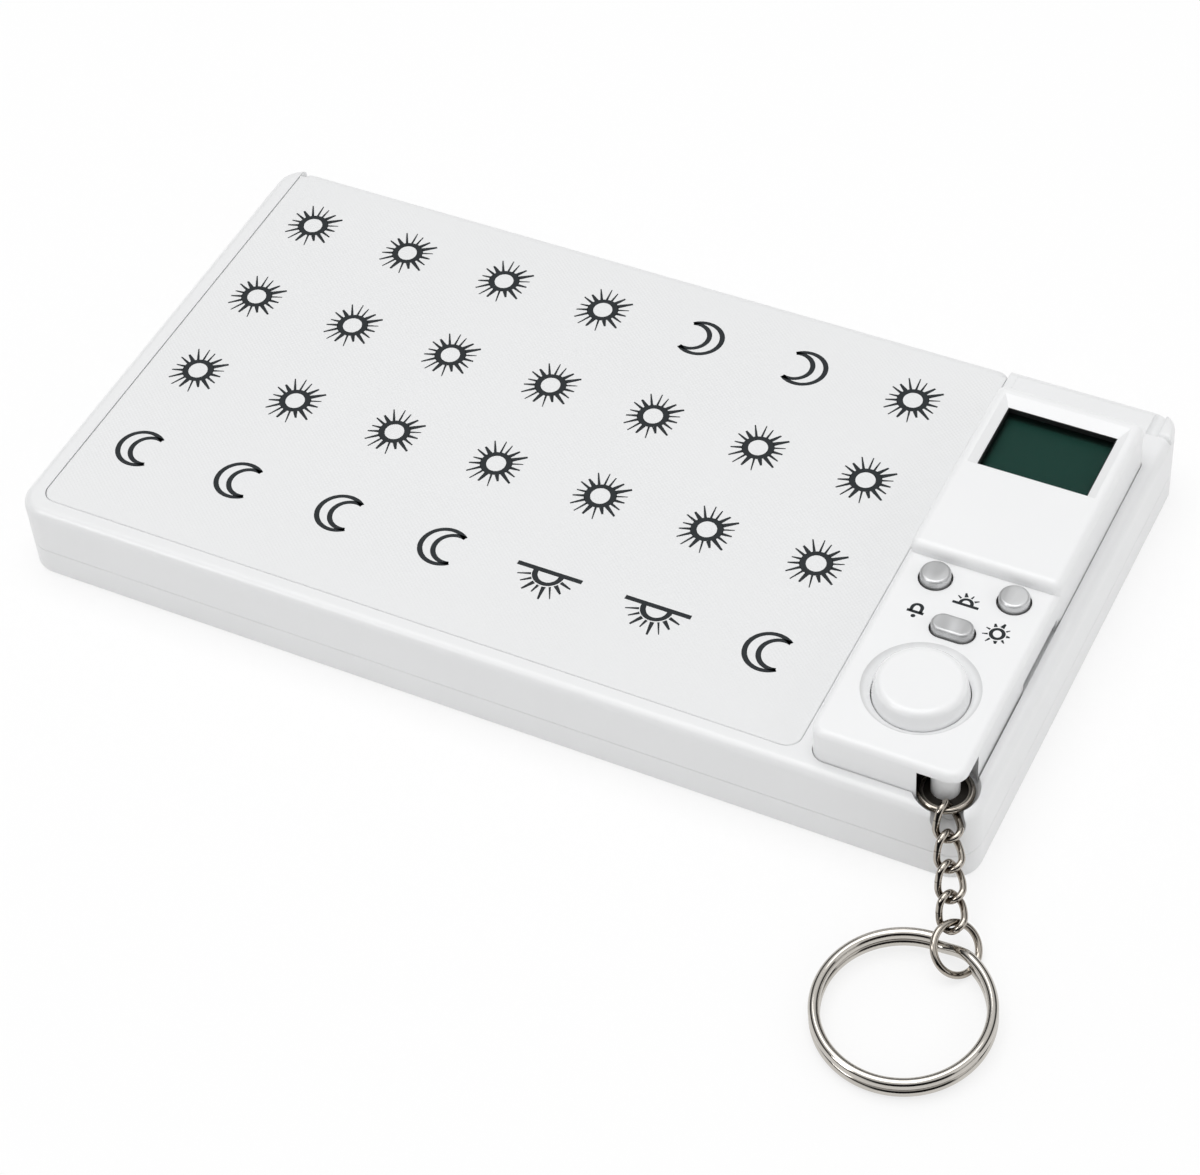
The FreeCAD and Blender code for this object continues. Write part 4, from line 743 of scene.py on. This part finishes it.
def bell_tree(name, sizes):
    """A plain alarm bell: dome, sides, brim and clapper."""
    tree = FigureTree(name, sizes)
    dome, stroke, skirt = (tree.size(label) for label in ("Dome radius", "Stroke", "Skirt"))
    tree.ribbon(dome, stroke, 0.0, math.pi)
    for side in (-1.0, 1.0):
        tree.bar(stroke, skirt, dome * side, skirt * -0.5)
    tree.bar(tree.size("Brim"), stroke, 0.0, skirt * -1.0)
    clapper = tree.size("Clapper")
    tree.ribbon(clapper * 0.5, clapper, 0.0, math.tau, 0.0, (skirt + stroke + clapper) * -1.0)
    return tree


# Figures on the lid, back row first: s sun, h half sun, l moon open to the left, r moon open to the right.
LID_ROWS = ("sssslls", "sssssss", "sssssss", "rrrrhhr")


class PILLCASE_OT_case(bpy.types.Operator):
    """Finish the two shells of the case, the tray and what fastens them"""

    bl_idname = "pillcase.case"
    bl_label = "Case"

    def execute(self, context):
        colours = context.scene.pillcase_colours
        white = tuple(colours.shell)
        skin(shell_plastic("case_white", white, roughness=0.34, coat=0.18), "upper_shell", "lower_shell")
        skin(shell_plastic("tray_white", white, roughness=0.42, coat=0.05), "pill_tray", "row_dividers",
             "column_dividers")
        skin(bright_metal("screw_steel", STEEL, roughness=0.26), "case_screws", "hinge_pins")
        return {"FINISHED"}


class PILLCASE_OT_lid(bpy.types.Operator):
    """Finish the lid and print its figures"""

    bl_idname = "pillcase.lid"
    bl_label = "Lid"

    def execute(self, context):
        colours = context.scene.pillcase_colours
        sizes = context.scene.pillcase_print
        skin(grained_plastic("lid_white", tuple(colours.lid), roughness=0.5), "lid")
        ink = print_ink("lid_ink", tuple(colours.ink))
        spots = {kind: [] for kind in "shlr"}
        for row, kinds in enumerate(reversed(LID_ROWS)):
            for column, kind in enumerate(kinds):
                x = sizes.first_x + column * sizes.pitch_x
                y = sizes.first_y + row * sizes.pitch_y + (sizes.half_lift if kind == "h" else 0.0)
                spots[kind].append((x, y, LID_TOP))
        film = sizes.film
        pieces = [sun_tree("lid_sun", SUN_SIZES, count=18).print_on("lid_suns", spots["s"], ink, film),
                  half_sun_tree("lid_half_sun", HALF_SUN_SIZES, count=18).print_on(
                      "lid_half_suns", spots["h"], ink, film),
                  moon_tree("lid_moon", MOON_SIZES).print_on("lid_moons", spots["r"], ink, film),
                  moon_tree("lid_moon_back", MOON_SIZES).print_on(
                      "lid_moons_turned", spots["l"], ink, film, math.pi)]
        for piece in pieces:
            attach(piece, "lid")
        return {"FINISHED"}


class PILLCASE_OT_timer(bpy.types.Operator):
    """Finish the timer's shells, its buttons and its works"""

    bl_idname = "pillcase.timer"
    bl_label = "Timer"

    def execute(self, context):
        colours = context.scene.pillcase_colours
        white = tuple(colours.timer)
        deck = TIMER_TOP - context.scene.pillcase_print.deck_drop
        # Painted shade on the deck: dark deep in the small buttons' holes and a little under the dish's rim.
        hollows = (tuple(colours.hollow_shade),
                   lambda finish: deck_hollow_shade(finish, context.scene.pillcase_liner, deck))
        skin(shell_plastic("deck_white", white, roughness=0.36, coat=0.15, hollows=hollows),
             "timer_top_shell")
        skin(shell_plastic("timer_white", white, roughness=0.36, coat=0.15), "timer_bottom_shell",
             "battery_cover", "lanyard_post")
        skin(shell_plastic("thumb_button_white", white, roughness=0.25, coat=0.25), "main_button")
        silver = silver_plastic("button_silver", tuple(colours.button))
        skin(silver, "left_button", "right_button", "oval_button")
        wear(lacquered_board("board_lacquer"), "circuit_board")
        black = dull_rubber("works_black", WORKS_BLACK)
        wear(black, "buzzer", "tact_switches", "zebra_strips", "main_switch_plunger", "left_switch_plunger",
             "right_switch_plunger", "oval_switch_plunger")
        steel = bright_metal("works_steel", STEEL, roughness=0.24)
        wear(steel, "coin_cell", "battery_contacts")
        skin(steel, "timer_screws", "battery_cover_screw")
        return {"FINISHED"}


class PILLCASE_OT_marks(bpy.types.Operator):
    """Print the three marks beside the timer's small buttons"""

    bl_idname = "pillcase.marks"
    bl_label = "Deck marks"

    def execute(self, context):
        sizes = context.scene.pillcase_print
        ink = print_ink("deck_ink", tuple(context.scene.pillcase_colours.ink))
        deck = TIMER_TOP - sizes.deck_drop
        film = sizes.film
        pieces = [
            bell_tree("deck_bell", BELL_SIZES).print_on("deck_bell", [(*sizes.bell, deck)], ink, film),
            half_sun_tree("deck_half_sun", DECK_HALF_SUN_SIZES, count=10).print_on(
                "deck_half_sun", [(*sizes.dusk, deck)], ink, film, math.pi),
            sun_tree("deck_sun", DECK_SUN_SIZES, count=9).print_on(
                "deck_sun", [(*sizes.day, deck)], ink, film)]
        for piece in pieces:
            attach(piece, "timer")
        return {"FINISHED"}


def swept(name, profile, axis, start, end, steps=33):
    """A closed piece: a loop of radius and height pairs, carried round an upright axis from start to end."""
    shape = bmesh.new()
    whole = math.isclose(end - start, math.tau)
    loops = []
    for step in range(steps):
        angle = start + (end - start) * step / (steps if whole else steps - 1)
        out = Vector((math.cos(angle), math.sin(angle), 0.0))
        loops.append([shape.verts.new(axis + out * radius + Vector((0.0, 0.0, height)))
                      for radius, height in profile])
    for loop, following in zip(loops, loops[1:] + loops[:1] if whole else loops[1:]):
        for corner, after in enumerate(range(1 - len(profile), 1)):
            shape.faces.new((loop[corner], following[corner], following[after], loop[after]))
    if not whole:
        shape.faces.new(loops[0])
        shape.faces.new(reversed(loops[-1]))
    bmesh.ops.recalc_face_normals(shape, faces=shape.faces)
    mesh = bpy.data.meshes.new(name)
    shape.to_mesh(mesh)
    shape.free()
    return placed(name, mesh)


class PILLCASE_OT_display(bpy.types.Operator):
    """Finish the display and its pane, and line its opening in black"""

    bl_idname = "pillcase.display"
    bl_label = "Display"

    def execute(self, context):
        sizes = context.scene.pillcase_liner
        glass = tuple(context.scene.pillcase_colours.glass)
        margin = Vector((sizes.pane_margin, sizes.pane_margin, 0.0))
        low, high = PANE_LOW + margin, PANE_HIGH - margin
        wear(dark_display("display_green", glass, low, high), "lcd_panel")
        wear(clear_window("display_pane"), "display_window")
        foot = Vector((low.x + sizes.fit, low.y + sizes.fit, PANE_HIGH.z + sizes.fit))
        top = Vector((high.x - sizes.fit, high.y - sizes.fit, TIMER_TOP - sizes.drop))
        liner = self.frame_of(foot, top, sizes.wall)
        liner.data.materials.append(dull_rubber("liner_black", LINER_BLACK))
        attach(liner, "timer")
        return {"FINISHED"}

    @staticmethod
    def frame_of(low, high, wall):
        """A closed four-sided frame between two corners."""
        shape = bmesh.new()
        loops = []
        for inset, height in ((0.0, low.z), (0.0, high.z), (wall, high.z), (wall, low.z)):
            left, right, front, back = low.x + inset, high.x - inset, low.y + inset, high.y - inset
            corners = ((left, front), (right, front), (right, back), (left, back))
            loops.append([shape.verts.new((x, y, height)) for x, y in corners])
        for loop, following in zip(loops, loops[1:] + loops[:1]):
            for corner in range(len(loop)):
                after = (corner + 1) % len(loop)
                shape.faces.new((loop[corner], loop[after], following[after], following[corner]))
        mesh = bpy.data.meshes.new("display_liner")
        shape.to_mesh(mesh)
        shape.free()
        return placed("display_liner", mesh)


class PILLCASE_OT_chain(bpy.types.Operator):
    """Finish the chain and its rings"""

    bl_idname = "pillcase.chain"
    bl_label = "Key chain"

    def execute(self, context):
        colours = context.scene.pillcase_colours
        links = [node for node in frame["nodes"] if node.startswith("chain_link")]
        # Both nickels go brown-black in a painted shade where the metal is closed in.
        skin(bright_metal("ring_nickel", tuple(colours.nickel), roughness=0.06, recess=RING_SHADE_REACH),
             "split_ring")
        skin(bright_metal("chain_nickel", tuple(colours.links), roughness=0.06, recess=LINK_SHADE_REACH),
             "post_ring", "connector_ring", *links)
        # Lays painted shade, as a dark film, in the pocket round the lanyard post.
        self.shade_pocket(context.scene.pillcase_liner)
        return {"FINISHED"}

    @staticmethod
    def shade_pocket(sizes):
        """A painted shade: a dark skin on the floor and wall of the pocket that the chain hangs from, where
        the pocket only lies in shadow.
        """
        axis = (POST_LOW + POST_HIGH) / 2
        axis.z = 0.0
        post = (POST_HIGH.x - POST_LOW.x) / 2 + sizes.fit
        wall = sizes.pocket_radius - sizes.fit
        floor = RING_FOOT - sizes.fit - sizes.pocket_film
        roof = floor + sizes.pocket_height
        film = sizes.pocket_film
        mouth = sizes.pocket_mouth
        corner = ((mouth, floor), (wall, floor), (wall, roof), (wall - film, roof),
                  (wall - film, floor + film), (mouth, floor + film))
        edge = mouth - sizes.fit
        disc = ((post, floor), (edge, floor), (edge, floor + film), (post, floor + film))
        # Painted shade, in the matte black finish.
        black = dull_rubber("pocket_black", POCKET_SHADE)
        pieces = (swept("pocket_wall_shade", corner, axis, sizes.pocket_start, sizes.pocket_end),
                  swept("pocket_floor_shade", disc, axis, 0.0, math.tau, steps=65))
        for piece in pieces:
            piece.data.materials.append(black)
            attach(piece, "timer")


class PILLCASE_OT_stage(bpy.types.Operator):
    """Lay the table, hang the lamps and place the camera"""

    bl_idname = "pillcase.stage"
    bl_label = "Stage"

    def execute(self, context):
        settings = context.scene.pillcase_stage
        self.lay_table(settings)
        self.light(context, settings)
        self.place_camera(context, settings)
        context.scene.view_settings.view_transform = "Standard"
        return {"FINISHED"}

    @staticmethod
    def lay_table(settings):
        """A white table; what looks at it or mirrors it sees it nearly plain, with a faint shadow."""
        near, far = -TABLE_REACH, TABLE_REACH
        mesh = bpy.data.meshes.new("table")
        corners = [(near, near, 0.0), (far, near, 0.0), (far, far, 0.0), (near, far, 0.0)]
        mesh.from_pydata(corners, [], [(0, 1, 2, 3)])
        table = placed("table", mesh)
        finish = Finish("table_white")
        camera = finish.add("ShaderNodeLightPath")
        seen = camera
        for name in ("Is Glossy Ray", "Is Transmission Ray"):
            seen = seen.larger(camera.sibling(name))
        matte = finish.add("ShaderNodeBsdfDiffuse", inputs={"Color": TABLE_WHITE})
        white = finish.add("ShaderNodeEmission", inputs={"Strength": 1.0})
        both = finish.add("ShaderNodeMixShader", inputs={0: seen * settings.backdrop, 1: matte, 2: white})
        finish.add("ShaderNodeOutputMaterial", inputs={"Surface": both})
        mesh.materials.append(finish.material)

    def light(self, context, settings):
        """White all round for the camera, an even sky, and a shaded studio in what is mirrored."""
        world = bpy.data.worlds.new("studio")
        world.use_nodes = True
        context.scene.world = world
        tree = Tree(world.node_tree)
        tree.tree.nodes.clear()
        camera = tree.add("ShaderNodeLightPath")
        seen = camera.larger(camera.sibling("Is Transmission Ray"))
        ray = tree.add("ShaderNodeTexCoord", output="Generated")
        height = tree.add("ShaderNodeSeparateXYZ", inputs={0: ray})
        shades = tree.add("ShaderNodeValToRGB", {"stops": STUDIO_SHADES}, {0: height.sibling(2)})
        viewer = (math.sin(settings.azimuth), -math.cos(settings.azimuth), 0.0)
        ahead = tree.add("ShaderNodeVectorMath", {"operation": "DOT_PRODUCT"}, {0: ray, 1: viewer},
                         output="Value")
        studio = shades * tree.add("ShaderNodeValToRGB", {"stops": VIEWER_SHADES}, {0: ahead})
        even = seen * (1.0 - settings.sky) + settings.sky
        strength = even + camera.sibling("Is Glossy Ray") * (studio - even)
        sky = tree.add("ShaderNodeBackground", inputs={"Color": (1.0, 1.0, 1.0, 1.0), "Strength": strength})
        tree.add("ShaderNodeOutputWorld", inputs={"Surface": sky})
        self.lamp(context, "overhead", *OVERHEAD_LAMP, settings.key)
        self.lamp(context, "side", *SIDE_LAMP, settings.key * SIDE_POWER_SHARE)
        glint = self.lamp(context, "glint", *GLINT_LAMP, settings.glint)
        glint.visible_diffuse = False

    @staticmethod
    def lamp(context, name, place, width, power):
        data = bpy.data.lights.new(name, "AREA")
        data.shape = "SQUARE"
        data.size = width
        data.energy = power
        lamp = bpy.data.objects.new(name, data)
        lamp.location = place
        lamp.rotation_euler = (Vector() - Vector(place)).to_track_quat("-Z", "Y").to_euler()
        context.scene.collection.objects.link(lamp)
        return lamp

    @staticmethod
    def place_camera(context, settings):
        turn, lift, roll = settings.azimuth, settings.elevation, settings.roll
        right = Vector((math.cos(turn), math.sin(turn), 0.0))
        back = Vector((math.sin(turn) * math.cos(lift), -math.cos(turn) * math.cos(lift), math.sin(lift)))
        up = back.cross(right)
        rolled_right = right * math.cos(roll) + up * math.sin(roll)
        rolled_up = up * math.cos(roll) - right * math.sin(roll)
        data = bpy.data.cameras.new("camera")
        data.lens = settings.lens
        data.sensor_fit = "HORIZONTAL"
        camera = bpy.data.objects.new("camera", data)
        axes = Matrix((rolled_right, rolled_up, back)).transposed()
        camera.matrix_world = Matrix.Translation(Vector(settings.place)) @ axes.to_4x4()
        context.scene.collection.objects.link(camera)
        context.scene.camera = camera


class PILLCASE_PT_panel(bpy.types.Panel):
    """Lists the steps that finish the pill case"""

    bl_idname = "PILLCASE_PT_panel"
    bl_label = "Pill Case"
    bl_space_type = "VIEW_3D"
    bl_region_type = "UI"
    bl_category = "Pill Case"

    def draw(self, context):
        for operator in OPERATORS:
            self.layout.operator(operator.bl_idname)


GROUPS = {"pillcase_colours": CaseColours, "pillcase_print": PrintSizes, "pillcase_liner": LinerSizes,
          "pillcase_stage": StageSettings}
OPERATORS = (PILLCASE_OT_case, PILLCASE_OT_lid, PILLCASE_OT_timer, PILLCASE_OT_marks, PILLCASE_OT_display,
             PILLCASE_OT_chain, PILLCASE_OT_stage)


def register():
    for group in (*GROUPS.values(), *OPERATORS, PILLCASE_PT_panel):
        bpy.utils.register_class(group)
    for name, group in GROUPS.items():
        setattr(bpy.types.Scene, name, bpy.props.PointerProperty(type=group))


def unregister():
    for name in GROUPS:
        delattr(bpy.types.Scene, name)
    for group in (PILLCASE_PT_panel, *reversed(OPERATORS), *GROUPS.values()):
        bpy.utils.unregister_class(group)


def main():
    register()
    bpy.ops.pillcase.case()
    bpy.ops.pillcase.lid()
    bpy.ops.pillcase.timer()
    bpy.ops.pillcase.marks()
    bpy.ops.pillcase.display()
    bpy.ops.pillcase.chain()
    bpy.ops.pillcase.stage()


if __name__ == "__main__":
    main()
